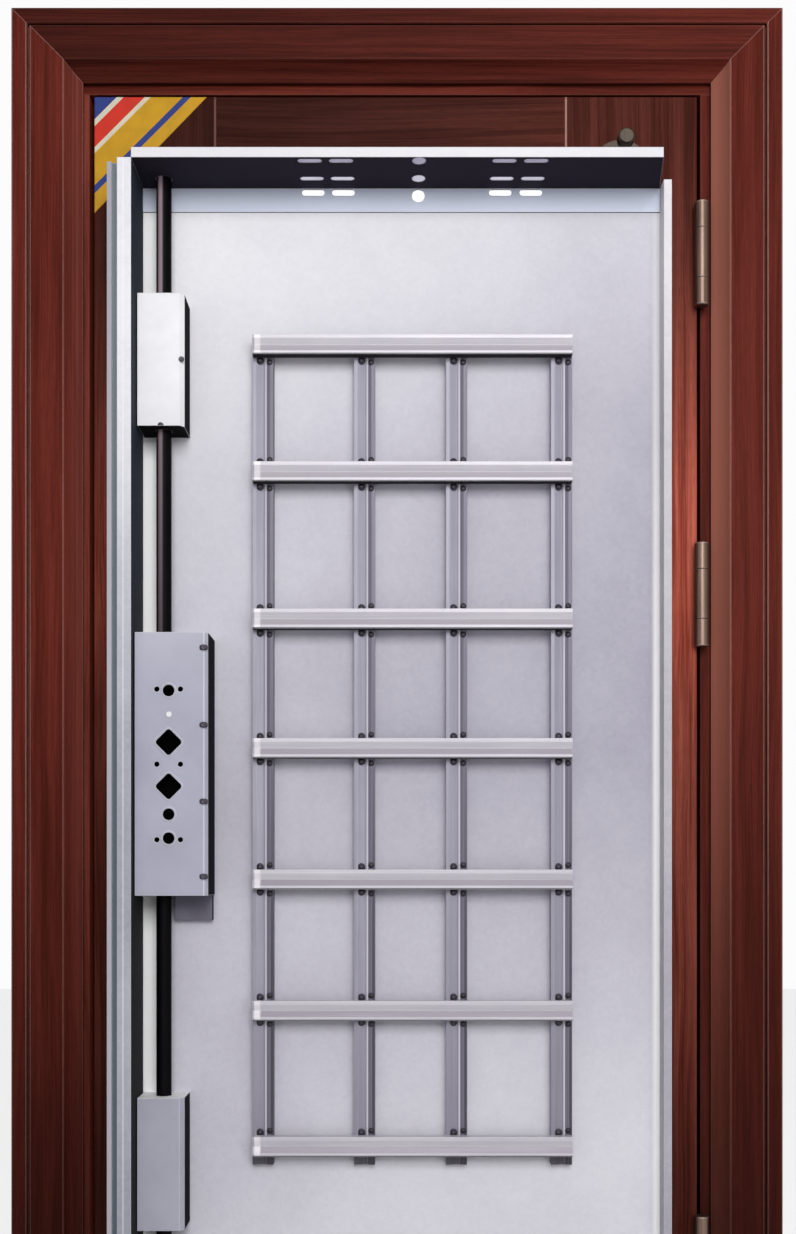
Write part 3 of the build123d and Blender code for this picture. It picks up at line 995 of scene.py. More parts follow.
def make_piece(
    name: str,
    rings: np.ndarray,
    seats: Sequence[Point] | np.ndarray,
    facing: Facing,
    material: bpy.types.Material,
    ride: Ride,
    smooth: bool = True,
) -> None:
    """Place a closed shell at each seat, as one piece.

    Each copy is the shell's across, up and out lengths along the three directions of its facing,
    added to the seat.

    Args:
        name: The piece's name.
        rings: The shell's rings, in across, up and out lengths.
        seats: The point of each copy.
        facing: Which way the copies face.
        material: Their finish.
        ride: The body that they ride on.
        smooth: Whether their faces are shaded smooth.
    """
    unit, faces = closed_shell(rings)
    seats = np.asarray(seats, float)
    points = seats[:, None, :] + (unit @ np.array(facing.value, float))[None]
    shifts = np.arange(len(seats)) * len(unit)
    copies = [[index + shift for index in face] for shift in shifts.tolist() for face in faces]
    put_in_scene(name, points.reshape(-1, 3), copies, material, ride, smooth)


def put_in_scene(
    name: str,
    points: np.ndarray,
    faces: list[list[int]],
    material: bpy.types.Material,
    ride: Ride,
    smooth: bool,
) -> bpy.types.Object:
    """Make an object of points and faces, and let it ride on a body.

    Args:
        name: The piece's name.
        points: Its points, in the door's own frame.
        faces: Its faces, as lists of point numbers.
        material: Its finish.
        ride: The body that it rides on.
        smooth: Whether its faces are shaded smooth.

    Returns:
        The new object.
    """
    mesh = bpy.data.meshes.new(name)
    mesh.from_pydata(points.tolist(), [], faces)
    mesh.polygons.foreach_set("use_smooth", np.full(len(faces), smooth))
    mesh.materials.append(material)
    mesh.update()
    piece = bpy.data.objects.new(name, mesh)
    bpy.context.scene.collection.objects.link(piece)
    body, slot = ride.value
    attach(piece, body)
    LOG.info("%s: %d points, %d faces, on %s", name, len(points), len(faces), body)
    return piece


def frame_paint(name: str, **changes: object) -> WoodFoil:
    """Return the frame's printed paint, matt and fine in grain, with this piece's own tones."""
    return WoodFoil(name, fineness=1.9, roughness=0.5, specular=0.04, **changes)


@dataclass
class CasedFrame:
    """Jambs, head, sill, seal and the folded casing."""

    # Painted highlight on the casing's bead and cove lines, and painted shade darker low down.
    upright: WoodFoil = frame_paint(
        "casing_paint_upright",
        dark="#4b190f",
        mid="#5e231a",
        light="#6d2c22",
        edge="#b4877e",
        edge_share=0.85,
        edge_gain=18.0,
    )
    # Painted light across the head: darker to the left, lighter to the right.
    across: WoodFoil = frame_paint(
        "casing_paint_across",
        dark="#471911",
        mid="#5d241b",
        light="#6c2d23",
        edge="#8b5c54",
        edge_share=0.6,
        edge_gain=10.0,
        sideways=((-0.54, 0.5), (0.0, 0.66), (0.54, 1.0)),
        run=Run.ACROSS,
    )
    rebate: WoodFoil = frame_paint(
        "rebate_paint",
        dark="#5c2319",
        mid="#79372c",
        light="#8a4438",
        edge="#8a5a50",
        edge_share=0.55,
        edge_gain=10.0,
    )
    shaded_tones: tuple[tuple[str, str], ...] = (
        ("dark", "#46160c"),
        ("mid", "#5e2319"),
        ("light", "#6d2e23"),
    )
    sill: BrushedMetal = BrushedMetal(
        "sill_brushed",
        light="#a7a49f",
        dark="#7c7a77",
        edge="#d5d2cd",
        run=Run.ACROSS,
        metallic=0.8,
    )
    rubber: PlainCoat = PlainCoat("seal_rubber_black", roughness=0.75)
    # Painted light on the lock jamb's side that faces the opening.
    jamb_side_light: Patch = Patch(Reading.FACE, Axis.RIGHT, 0.8, 1.1, "#a04535", 0.85, 0.1)
    # Painted light on the left casing's faces that look right, fading down the door.
    left_casing_light: Patch = Patch(
        Reading.FACE, Axis.RIGHT, 0.15, 1.1, "#7d3e35", 0.35, 0.1, (0.5, 1.3), 0.1
    )
    # Painted light on the right casing's cove, which faces left, fading down the door.
    right_casing_light: Patch = Patch(
        Reading.FACE, Axis.RIGHT, -0.93, -0.3, "#93594b", 0.95, 0.08, (0.5, 1.5), 0.12
    )

    def build(self) -> None:
        """Dress the frame's nodes."""
        shaded = replace(self.rebate, name="rebate_paint_shaded", **dict(self.shaded_tones))
        left = replace(self.upright, name="casing_paint_left", patches=(self.left_casing_light,))
        lit = replace(self.upright, name="casing_paint_lit", patches=(self.right_casing_light,))
        finishes = {
            "casing_left": left,
            "casing_right": lit,
            "casing_head": self.across,
            "jamb_lock_side": replace(self.rebate, patches=(self.jamb_side_light,)),
            "jamb_hinge_side": shaded,
            "frame_head": replace(shaded, name="rebate_paint_head", run=Run.ACROSS),
            "threshold": self.sill,
            "frame_seal": self.rubber,
        }
        for node, finish in finishes.items():
            dress(node, finish)
        LOG.info("cased frame dressed")


@dataclass
class Hinges:
    """Three bronze barrel hinges with domed caps."""

    bronze: BrushedMetal = BrushedMetal(
        "hinge_bronze_satin",
        light="#776258",
        dark="#4a3b34",
        edge="#c9b1ab",
        metallic=0.9,
        roughness=0.34,
        edge_radius=0.0012,
    )
    cap: Turning = Turning(
        0.0103,
        ((0.86, -0.0006), (0.99, 0.0004), (0.97, 0.0011), (0.8, 0.0021), (0.42, 0.002716)),
        28,
    )
    places: tuple[str, ...] = ("top", "middle", "bottom")

    def build(self) -> None:
        """Dress the knuckles and add a cap at each end of each barrel."""
        finish = self.bronze.build()
        for place in self.places:
            dress(f"hinge_frame_{place}", finish)
            dress(f"hinge_leaf_{place}", finish)
        boxes = [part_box(f"hinge_frame_{place}") for place in self.places]
        low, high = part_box("hinge_leaf_top")
        axis = (high.x - self.cap.radius, low.y + self.cap.radius)
        for facing, levels, name in (
            (Facing.UP, [high.z for _, high in boxes], "hinge_caps_upper"),
            (Facing.DOWN, [low.z for low, _ in boxes], "hinge_caps_lower"),
        ):
            seats = [(*axis, level) for level in levels]
            make_piece(name, self.cap.rings(), seats, facing, finish, Ride.HINGE)


@dataclass
class Leaf:
    """The wood-grained leaf, its striped corner label and the round knob."""

    line_places: tuple[float, float] = (-0.2569, 0.2386)
    band_depth: float = 0.118
    # Painted light and shade on the front skin: a bright band at about 1.28 m, darker above and below
    # it, and darker to the left.
    front_painted_light_up: Stops = (
        (0.45, 0.15),
        (0.51, 0.17),
        (0.65, 0.28),
        (0.8, 0.32),
        (1.0, 0.43),
        (1.15, 0.6),
        (1.28, 1.0),
        (1.4, 0.92),
        (1.6, 0.5),
        (1.75, 0.27),
        (1.97, 0.185),
    )
    front_painted_light_across: Stops = ((-0.43, 0.47), (-0.2, 0.47), (0.03, 0.65), (0.28, 0.94), (0.36, 1.0))
    back_tones_up: Stops = ((0.0, 0.55), (2.1, 0.55))
    back_tones_across: Stops = ((-0.5, 1.0), (0.5, 1.0))
    label_right: float = -0.2685
    label_low: float = 1.830
    label_thick: float = 0.0003
    label_core: float = 0.00024
    label_edge: float = 0.0006
    label_rows: int = 48
    label_columns: int = 12
    tray_clear: float = 0.0008
    bronze: BrushedMetal = BrushedMetal(
        "knob_bronze_satin",
        light="#463d34",
        dark="#2b251f",
        edge="#7a6d5f",
        metallic=0.7,
        roughness=0.36,
        edge_radius=0.001,
    )
    knob_radius: float = 0.0119
    knob_sunk: float = 0.0049
    knob_turn: tuple[float, float] = (0.25, 0.97)
    knob_rings: int = 14
    knob_sides: int = 40

    def build(self) -> None:
        """Dress both skins, then add the label and the knob."""
        low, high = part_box("leaf_front_skin")
        foil = WoodFoil(
            "leaf_foil",
            dark="#812f1d",
            mid="#b15745",
            light="#d06b59",
            run=Run.FRAMED,
            fineness=1.6,
            roughness=0.48,
            specular=0.04,
            painted_light_up=self.front_painted_light_up,
            sideways=self.front_painted_light_across,
            band_levels=(low.z + self.band_depth, high.z - self.band_depth),
            lines=self.line_places,
        )
        dress("leaf_front_skin", foil)
        even = {"painted_light_up": self.back_tones_up, "sideways": self.back_tones_across}
        dress("leaf_back_skin", replace(foil, name="leaf_foil_back", **even))
        self._label()
        self._knob()

    def _label(self) -> None:
        """Make the label: rows from the leaf's left edge to a slant, cut short beside the tray."""
        leaf_low, leaf_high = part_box("leaf_front_skin")
        tray_low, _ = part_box("tray_lock_stile")
        _, wall_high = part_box("tray_top_wall")
        left = leaf_low.x + self.label_edge
        top = leaf_high.z - self.label_edge
        tray_top = wall_high.z + self.tray_clear
        above = np.linspace(top, tray_top, self.label_rows)
        below = np.linspace(tray_top, self.label_low, self.label_rows)
        levels = np.concatenate([above, below])
        raised = (levels - self.label_low) / (top - self.label_low)
        slant = left + (self.label_right - left) * raised
        beside_tray = np.arange(len(levels)) >= self.label_rows
        stop = np.where(beside_tray, tray_low.x - self.tray_clear, np.inf)
        right = np.maximum(np.minimum(slant, stop), left + self.label_edge)
        x = left + (right - left)[:, None] * np.linspace(0, 1, self.label_columns)
        y = np.full(x.shape, leaf_low.y - self.label_thick)
        z = np.broadcast_to(levels[:, None], x.shape)
        points = np.stack([x, y, z], axis=-1).reshape(-1, 3)
        faces = sheet_faces(*x.shape)[:, ::-1].tolist()
        film = StripedLabel("corner_label_film", roughness=0.4, specular=0.2, corner=(left, top))
        piece = put_in_scene("corner_label", points, faces, film.build(), Ride.LABEL, False)
        solid = piece.modifiers.new("thickness", "SOLIDIFY")
        solid.thickness = self.label_core
        solid.offset = -1.0

    def _knob(self) -> None:
        """Dress the knob's seat and cap it with a turned ball, an arc of a circle run round."""
        finish = self.bronze.build()
        dress("face_knob", finish)
        low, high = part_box("face_knob")
        start, end = self.knob_turn
        turn = np.linspace(start * math.pi, end * math.pi, self.knob_rings)
        out = self.knob_radius * (1 - np.cos(turn)) - self.knob_sunk
        profile = list(zip(self.knob_radius * np.sin(turn), out))
        front = low.y + 2 * self.knob_radius - self.knob_sunk
        seat = ((low.x + high.x) / 2, front, (low.z + high.z) / 2)
        ball = turned(profile, self.knob_sides)
        make_piece("knob_ball", ball, [seat], Facing.VIEWER, finish, Ride.KNOB)


@dataclass
class Tray:
    """The open steel tray: its back sheet, lock stile, end walls, and glowing sheets in its slots
    that stand in for the light through them.
    """

    slot_length: float = 0.032
    slot_width: float = 0.009
    hole_radius: float = 0.009
    slot_offsets: tuple[float, ...] = (-0.148, -0.1055, 0.1155, 0.1585)
    centre_inset: float = 0.423
    front_inset: float = 0.010
    middle_inset: float = 0.058
    fit: float = 0.0004
    thick: float = 0.0012
    shoulder: float = 0.00084
    seat_depth: float = 0.0004
    fold_gap: float = 0.001
    flange_width: float = 0.0065
    lip_width: float = 0.019
    # Place and width of the painted highlight line on the stile's lip.
    lip_line_inset: float = 0.0075
    lip_highlight_width: float = 0.0014
    # Widths of the painted light beside the lock stile and at the right wall's foot.
    painted_light_strip_width: float = 0.024
    lap: float = 0.01
    wall_foot_light_width: float = 0.0095
    wall_foot_light_lap: float = 0.002
    # Depth of the painted pale-blue shade band on the end walls, at the sheet.
    band_depth: float = 0.0026
    band_lap: float = 0.0004
    sides: int = 32

    def build(self) -> None:
        """Dress the sheets, then fill the slots with glowing sheets that stand in for the light
        through them.
        """
        wall = self._wall_finish().build()
        dress("tray_back_sheet", self._sheet_finish())
        dress("tray_lock_stile", self._stile_finish())
        dress("tray_right_wall", self._right_wall_finish())
        dress("tray_top_wall", wall)
        dress("tray_bottom_wall", wall)
        self._inserts()

    def _sheet_finish(self) -> ZincSheet:
        """Finish the back sheet: painted shade by height and side, and painted light beside the lock
        stile and at the right wall.

        Returns:
            The finish.
        """
        _, stile_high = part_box("tray_lock_stile")
        wall_low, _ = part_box("tray_right_wall")
        strip = (stile_high.x - self.lap, stile_high.x + self.painted_light_strip_width)
        foot = (wall_low.x - self.wall_foot_light_width, wall_low.x + self.wall_foot_light_lap)
        return ZincSheet(
            "tray_zinc",
            light="#f9f8fc",
            dark="#aaa6b6",
            slope=((0.5, -0.16), (1.45, 0.42)),
            painted_light_up=((0.3, 0.52), (0.7, 0.68), (1.05, 0.73), (1.5, 0.44), (1.86, 0.03)),
            spangle=0.09,
            clouds=0.16,
            roughness=0.5,
            specular=0.2,
            patches=(
                # Painted light: white beside the lock stile, and at the right wall's foot, less of it
                # near the top.
                Patch(Reading.PLACE, Axis.RIGHT, *strip, "#ffffff"),
                Patch(Reading.PLACE, Axis.RIGHT, *foot, "#ffffff", 0.95, 0.004, (1.9, 1.1), 0.3),
            ),
        )

    def _stile_finish(self) -> ZincSheet:
        """Finish the lock stile: painted shade that darkens it down the door, a grey flange, painted
        shadow in the step, a painted highlight line on the lip, and painted shade on the inner face.

        Returns:
            The finish.
        """
        low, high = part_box("tray_lock_stile")
        lip_left = high.x - self.lip_width
        lip_line = lip_left + self.lip_line_inset
        flange = (low.x - self.lap, low.x + self.flange_width)
        step = (low.x + self.flange_width, lip_left)
        line = (lip_line, lip_line + self.lip_highlight_width)
        return ZincSheet(
            "tray_zinc_stile",
            light="#edecf2",
            dark="#9a9ca8",
            painted_light_up=((0.4, 1.0), (1.1, 0.76), (1.7, 0.0)),
            roughness=0.45,
            specular=0.25,
            patches=(
                Patch(Reading.PLACE, Axis.RIGHT, *flange, "#b3b0bb", 0.85),
                Patch(Reading.PLACE, Axis.RIGHT, *flange, "#9f9ca8", 0.8, levels=(1.1, 1.8)),
                # Painted shadow in the step, a painted highlight line on the lip, and painted shade
                # on the inner face, darkest low down.
                Patch(Reading.PLACE, Axis.RIGHT, *step, "#46606a", 0.85),
                Patch(Reading.PLACE, Axis.RIGHT, *line, "#ffffff", 0.45),
                Patch(Reading.FACE, Axis.RIGHT, 0.8, 1.1, "#1c2430", 1.0, 0.1, dull=0.9),
                Patch(Reading.FACE, Axis.RIGHT, 0.8, 1.1, "#0c070d", 0.9, 0.1, (1.5, 0.7)),
            ),
        )

    def _right_wall_finish(self) -> ZincSheet:
        """Finish the right wall, with painted shade that darkens it down the door.

        Returns:
            The finish.
        """
        return ZincSheet(
            "tray_zinc_right",
            light="#e9e5e8",
            dark="#a09ca8",
            painted_light_up=((0.3, 1.0), (1.0, 0.69), (1.21, 0.65), (1.5, 0.5), (1.63, 0.22), (1.75, 0.0)),
            roughness=0.45,
            specular=0.25,
        )

    def _wall_finish(self) -> ZincSheet:
        """Finish the end walls: a painted pale-blue shade band at the sheet, and painted shade on
        their undersides.

        Returns:
            The finish.
        """
        low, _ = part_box("tray_back_sheet")
        band = (low.y - self.band_depth, low.y + self.band_lap)
        return ZincSheet(
            "tray_zinc_shaded",
            light="#e9e7eb",
            dark="#c4c3d2",
            roughness=0.4,
            specular=0.2,
            patches=(
                # Painted pale-blue shade band at the sheet, and painted shade on the undersides.
                Patch(Reading.PLACE, Axis.BACK, *band, "#dde5f9", 0.88),
                Patch(Reading.FACE, Axis.UP, -1.1, -0.8, "#1d1726", 1.0, 0.1, dull=0.9),
            ),
        )

    def _inserts(self) -> None:
        """Make the glowing sheets that stand in for the light through the slots: one slot shape and
        one round shape, repeated along the three rows.
        """
        stile_low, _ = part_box("tray_lock_stile")
        wall_low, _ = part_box("tray_top_wall")
        sheet_low, sheet_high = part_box("tray_back_sheet")
        steps = ((self.fit, 0.0), (self.fit, self.shoulder), (self.fit * 2, self.thick))
        slot = stadium(self.slot_length, self.slot_width, steps, self.sides)
        disc = turned([(self.hole_radius - inset, up) for inset, up in steps], self.sides)
        centre = stile_low.x + self.centre_inset
        under = sheet_high.z + self.seat_depth + self.thick
        fold = sheet_high.z - self.fold_gap
        rows = (
            ("front", Facing.DOWN, wall_low.y + self.front_inset, under, under),
            ("middle", Facing.DOWN, wall_low.y + self.middle_inset, under, under),
            (
                "fold",
                Facing.VIEWER,
                sheet_low.y,
                fold - self.slot_width / 2,
                fold - self.hole_radius,
            ),
        )
        # Painted light: the sheets glow, more from the front row to the fold, in lighter tints as
        # they stand in for more light.
        pale = (
            ("slot_glow_shaded", "#a9a3b8", "#b6b1c4", "#c4c0d0", 0.25),
            ("slot_glow_grey", "#bfbcc9", "#cfccd8", "#dddbe4", 0.5),
            ("slot_glow_white", "#f2f1f5", "#fbfafc", "#ffffff", 0.75),
        )
        for row, (name, colour, clouds, edge, glow) in zip(rows, pale):
            place, facing, depth, slot_level, hole_level = row
            tones = {"colour": colour, "cloud_colour": clouds, "edge": edge}
            finish = PlainCoat(name, roughness=0.5, glow=glow, **tones).build()
            slots = [(centre + offset, depth, slot_level) for offset in self.slot_offsets]
            make_piece(f"slot_glow_sheets_{place}", slot, slots, facing, finish, Ride.TRAY, False)
            hole = [(centre, depth, hole_level)]
            make_piece(f"round_glow_sheet_{place}", disc, hole, facing, finish, Ride.TRAY, False)


@dataclass
class Grid:
    """Seven rails in front of four bars, with a bolt and a rivet above and below each crossing, whose
    near black washers and rivets also stand in for the shadow at the crossings.
    """

    rails: int = 7
    bars: int = 4
    bolt_place: tuple[float, float] = (-0.0044, 0.0012)
    bolt_clear: float = 0.0035
    rivet_place: tuple[float, float] = (0.0094, 0.0)
    rivet_clear: float = 0.0062
    washer: Turning = Turning(
        0.0056, ((0.9, -0.0002), (1.0, 0.0002), (0.9, 0.0009), (0.4, 0.0009)), 14
    )
    head: Turning = Turning(
        0.0036, ((0.9, 0.0), (1.0, 0.0004), (0.84, 0.00169), (0.45, 0.0026)), 14
    )
    rivet: Turning = Turning(
        0.0042, ((0.9, -0.0004), (1.0, 0.0003), (0.8, 0.0012), (0.4, 0.0017)), 14
    )
    # Sizes of the painted highlight and shade on the rails and bars.
    rail_end_band: float = 0.011
    rail_tip: float = 0.0027
    rail_dark_line: float = 0.0018
    bar_fold: float = 0.6
    bar_fold_width: float = 0.0022
    bar_rim: float = 0.004
    bar_end_band: float = 0.012
    bar_dark_level: float = 0.7
    rail_steel: BrushedMetal = BrushedMetal(
        "rail_steel",
        light="#cfcbd2",
        dark="#bab6c0",
        edge="#fbf7fb",
        edge_share=0.7,
        run=Run.ACROSS,
        metallic=0.1,
        roughness=0.36,
        edge_radius=0.0012,
        # Painted shade on the rails' undersides.
        patches=(Patch(Reading.FACE, Axis.UP, -1.1, -0.9, "#17131d", 1.0, 0.05, dull=1.0),),
    )
    bar_steel: BrushedMetal = BrushedMetal(
        "bar_steel",
        light="#a5a2b0",
        dark="#908d9c",
        edge="#c6c3ce",
        edge_share=0.5,
        metallic=0.1,
        roughness=0.42,
        edge_radius=0.001,
        # Painted shade on the bars' faces that look right.
        patches=(Patch(Reading.FACE, Axis.RIGHT, 0.9, 1.1, "#3d3a46", 0.9, 0.05, dull=0.8),),
    )
    # Near black, so that the washers and rivets also paint the shadow at the crossings.
    washer_steel: PlainCoat = PlainCoat(
        "bolt_washer_dark",
        colour="#1d1a22",
        cloud_colour="#2c2831",
        edge="#4c4852",
        metallic=0.3,
    )
    head_steel: PlainCoat = PlainCoat(
        "bolt_head_dark",
        colour="#2c2932",
        cloud_colour="#3d3944",
        edge="#6c6873",
        metallic=0.3,
    )

    def build(self) -> None:
        """Dress rails and bars, and set the bolts and rivets on the bars."""
        rails = [f"grid_rail_{number}" for number in range(1, self.rails + 1)]
        bars = [f"grid_bar_{number}" for number in range(1, self.bars + 1)]
        for node in rails:
            dress(node, self._rail_finish(node))
        for node in bars:
            dress(node, self._bar_finish(node))
        boxes = [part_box(node) for node in rails], [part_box(node) for node in bars]
        bolts = self._crossings(*boxes, self.bolt_place, self.bolt_clear)
        rivets = self._crossings(*boxes, self.rivet_place, self.rivet_clear)
        heads = bolts - np.array([0.0, self.washer.rise, 0.0])
        dark = self.washer_steel.build()
        for name, shape, seats, material in (
            ("grid_washers", self.washer, bolts, dark),
            ("grid_bolts", self.head, heads, self.head_steel.build()),
            ("grid_rivets", self.rivet, rivets, dark),
        ):
            make_piece(name, shape.rings(), seats, Facing.VIEWER, material, Ride.GRID)

    @staticmethod
    def _crossings(
        rails: list[Box], bars: list[Box], place: tuple[float, float], clear: float
    ) -> np.ndarray:
        """Return a seat under and over each crossing, on the bars' front.

        Args:
            rails: The lowest and highest corner of each rail, from the top down.
            bars: The lowest and highest corner of each bar.
            place: How far the seats lie right of a bar's middle, and behind its front.
            clear: How far they lie from the rail's edge.

        Returns:
            One point a row.
        """
        under = [low.z - clear for low, _ in rails[:-1]]
        over = [high.z + clear for _, high in rails[1:]]
        x = np.array([(low.x + high.x) / 2 + place[0] for low, high in bars])
        seats = np.stack([*np.meshgrid(x, np.array(under + over))], axis=-1).reshape(-1, 2)
        return np.insert(seats, 1, bars[0][0].y + place[1], axis=1)

    def _rail_finish(self, node: str) -> BrushedMetal:
        """Finish a rail: painted shade on its lower slope, more of it low down the door, a painted
        highlight at its left end, a grey tip, and painted shade along its lower edge.

        Args:
            node: The rail's name.

        Returns:
            The finish.
        """
        low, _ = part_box(node)
        end = (low.x - self.rail_end_band, low.x + self.rail_end_band)
        tip = (low.x - self.rail_tip, low.x + self.rail_tip)
        foot = (low.z - self.rail_dark_line, low.z + self.rail_dark_line)
        patches = (
            # Painted shade on the lower slope, a painted highlight at the left end, a grey tip, and
            # painted shade along the lower edge.
            Patch(Reading.FACE, Axis.UP, 0.2, 0.6, "#bab3bc", 0.9, 0.05),
            Patch(Reading.FACE, Axis.UP, 0.2, 0.6, "#827a86", 0.17, 0.05, (0.7, 1.5), 5.0),
            Patch(Reading.PLACE, Axis.RIGHT, *end, "#f6f2f6", 0.6, 0.002),
            Patch(Reading.PLACE, Axis.RIGHT, *tip, "#9996a4", 0.8, 0.0005),
            Patch(Reading.PLACE, Axis.UP, *foot, "#2a2531", 0.9),
            *self.rail_steel.patches,
        )
        return replace(self.rail_steel, name=f"rail_steel_{node[-1]}", patches=patches)

    def _bar_finish(self, node: str) -> BrushedMetal:
        """Finish a bar: painted shade low down, a painted highlight line along its groove, painted
        shade to the right of it and on the right rim, and a painted shadow at its lower end.

        Args:
            node: The bar's name.

        Returns:
            The finish.
        """
        low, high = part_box(node)
        fold = low.x + (high.x - low.x) * self.bar_fold
        after_fold = fold + self.bar_fold_width
        shaded = (after_fold, high.x + self.bar_fold_width)
        rim = (high.x - self.bar_rim, high.x + self.bar_rim)
        end = (low.z - self.bar_end_band, low.z + self.bar_end_band)
        patches = (
            # Painted shade low down, a painted highlight line on the groove, painted shade right of
            # it and on the rim, and painted shadow at the lower end.
            Patch(Reading.PLACE, Axis.UP, -1.0, self.bar_dark_level, "#726c7c", 0.55, 0.3),
            Patch(Reading.PLACE, Axis.RIGHT, fold, after_fold, "#dcd9e2", 0.8),
            Patch(Reading.PLACE, Axis.RIGHT, *shaded, "#656071", 0.85),
            Patch(Reading.PLACE, Axis.RIGHT, *rim, "#2b2733", 0.8, 0.0005, (1.3, 0.7)),
            Patch(Reading.PLACE, Axis.UP, *end, "#24202a", 0.85, 0.001),
            *self.bar_steel.patches,
        )
        return replace(self.bar_steel, name=f"bar_steel_{node[-1]}", patches=patches)


@dataclass
class LockGear:
    """Lock covers, lock body and the two rods, with their clips, screws and small fittings."""

    screw: Turning = Turning(
        0.004, ((0.9, -0.0005), (1.0, 0.0), (0.9, 0.00105), (0.55, 0.0014), (0.35, 0.00084))
    )
    screw_inset: float = 0.0035
    clip_half: tuple[float, float] = (0.0058, 0.0038)
    clip_steps: Pairs = ((0.0006, -0.0006), (0.0, 0.0), (0.0003, 0.00154), (0.0012, 0.0022))
    clip_power: float = 3.2
    clip_levels: tuple[float, ...] = (0.158, 0.053, -0.051, -0.153)
    clip_inset: float = 0.0054
    clip_sunk: float = 0.0008
    outline_sides: int = 24
    fold_inset: float = 0.0058
    fold_width: float = 0.0012
    dimple: Turning = Turning(0.0045, ((1.0, -0.0004), (1.0, 0.0003), (0.7, 0.0006), (0.4, 0.0004)))
    dimple_up: float = 0.067
    hole_inset: float = 0.046
    notch: Turning = Turning(0.0042, ((0.9, -0.0004), (1.0, 0.0), (0.9, 0.0004), (0.4, 0.0005)))
    notch_across: float = 0.032
    notch_flat: float = 0.05
    notch_break: float = 0.0005
    tail_height: float = 0.042
    tail_depth: float = 0.012
    tail_clear: float = 0.0015
    tail_up: float = 0.006
    tail_sunk: float = 0.0004
    tail_ease: float = 0.0006
    tail_draw: float = 0.006
    tail_power: float = 40.0
    cover: CoverPaint = CoverPaint(
        "cover_paint",
        roughness=0.42,
        edge_radius=0.0022,
        specular=0.1,
        patches=(
            # Painted shade on the right sides and undersides, and painted light on the tops.
            Patch(Reading.FACE, Axis.RIGHT, 0.9, 1.1, "#07060f", 1.0, 0.05, dull=1.0),
            Patch(Reading.FACE, Axis.UP, -1.1, -0.9, "#050407", 1.0, 0.05, dull=1.0),
            Patch(Reading.FACE, Axis.UP, 0.9, 1.1, "#ffffff", 0.9, 0.05),
        ),
    )
    dark_body: PlainCoat = PlainCoat(
        "lock_body_black",
        colour="#030304",
        cloud_colour="#060507",
        edge="#0a090c",
        roughness=0.9,
        specular=0.02,
    )
    rod: PlainCoat = PlainCoat(
        "rod_black_painted_highlight",
        colour="#040305",
        cloud_colour="#080609",
        edge="#0c0a0e",
        roughness=0.45,
        specular=0.04,
        patches=(
            # Painted highlight: a pale streak on the left of each rod, fading down the door.
            Patch(Reading.FACE, Axis.RIGHT, -0.62, -0.04, "#a39098", 0.9, 0.16, (0.9, 1.8)),
        ),
    )
    clip_steel: PlainCoat = PlainCoat(
        "clip_dark",
        colour="#25222b",
        cloud_colour="#36323d",
        edge="#8a8692",
        metallic=0.4,
    )
    tail_steel: PlainCoat = PlainCoat(
        "tail_grey",
        colour="#6c6977",
        cloud_colour="#777483",
        edge="#5a5765",
        roughness=0.5,
        specular=0.1,
        # Painted shade on the block's right side.
        patches=(Patch(Reading.FACE, Axis.RIGHT, 0.5, 1.1, "#15121a", 0.9, 0.1, dull=0.9),),
    )

    def build(self) -> None:
        """Dress the covers and rods, then add what shows on the covers and under them."""
        cover, rod = self.cover.build(), self.rod.build()
        dress("upper_lock_box", cover)
        dress("lower_lock_box", cover)
        dress("main_lock_box", self._main_finish())
        dress("lock_body", self.dark_body)
        dress("upper_rod", rod)
        dress("lower_rod", rod)
        dark = self.clip_steel.build()
        self._clips(dark)
        self._upper_fittings(dark)
        self._dimple()
        self._tail()

    def _main_finish(self) -> CoverPaint:
        """Finish the main cover: the covers' paint with a painted highlight line along its fold.

        Returns:
            The finish.
        """
        _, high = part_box("main_lock_box")
        fold = high.x - self.fold_inset
        line = Patch(Reading.PLACE, Axis.RIGHT, fold, fold + self.fold_width, "#e2e1ec", 0.8)
        return replace(self.cover, name="main_cover_paint", patches=(*self.cover.patches, line))

    def _clips(self, dark: bpy.types.Material) -> None:
        """Set the clips along the main cover's right edge, each with a screw in it.

        Args:
            dark: Their finish.
        """
        low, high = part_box("main_lock_box")
        middle = (low.z + high.z) / 2
        across, front = high.x - self.clip_inset, low.y + self.clip_sunk
        seats = np.array([(across, front, middle + up) for up in self.clip_levels])
        clip = pressed(self.clip_half, self.clip_steps, self.clip_power, self.outline_sides)
        make_piece("cover_clips", clip, seats, Facing.VIEWER, dark, Ride.COVER)
        _, clip_rise = self.clip_steps[-1]
        heads = seats - np.array([0.0, clip_rise, 0.0])
        make_piece("clip_screws", self.screw.rings(), heads, Facing.VIEWER, dark, Ride.COVER)

    def _upper_fittings(self, dark: bpy.types.Material) -> None:
        """Add the upper cover's screw, and its plug: a disc whose lower half is pressed flat.

        Args:
            dark: Their finish.
        """
        low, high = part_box("upper_lock_box")
        seat = (high.x - self.screw_inset, low.y, (low.z + high.z) / 2)
        make_piece("box_screw", self.screw.rings(), [seat], Facing.VIEWER, dark, Ride.COVER)
        plug = self.notch.rings()
        plug[..., 1] = np.maximum(plug[..., 1], -self.notch_flat * np.abs(plug[..., 1]))
        seat = (low.x + self.notch_across, low.y, low.z + self.notch_break)
        make_piece("box_notch", plug, [seat], Facing.VIEWER, dark, Ride.COVER, False)

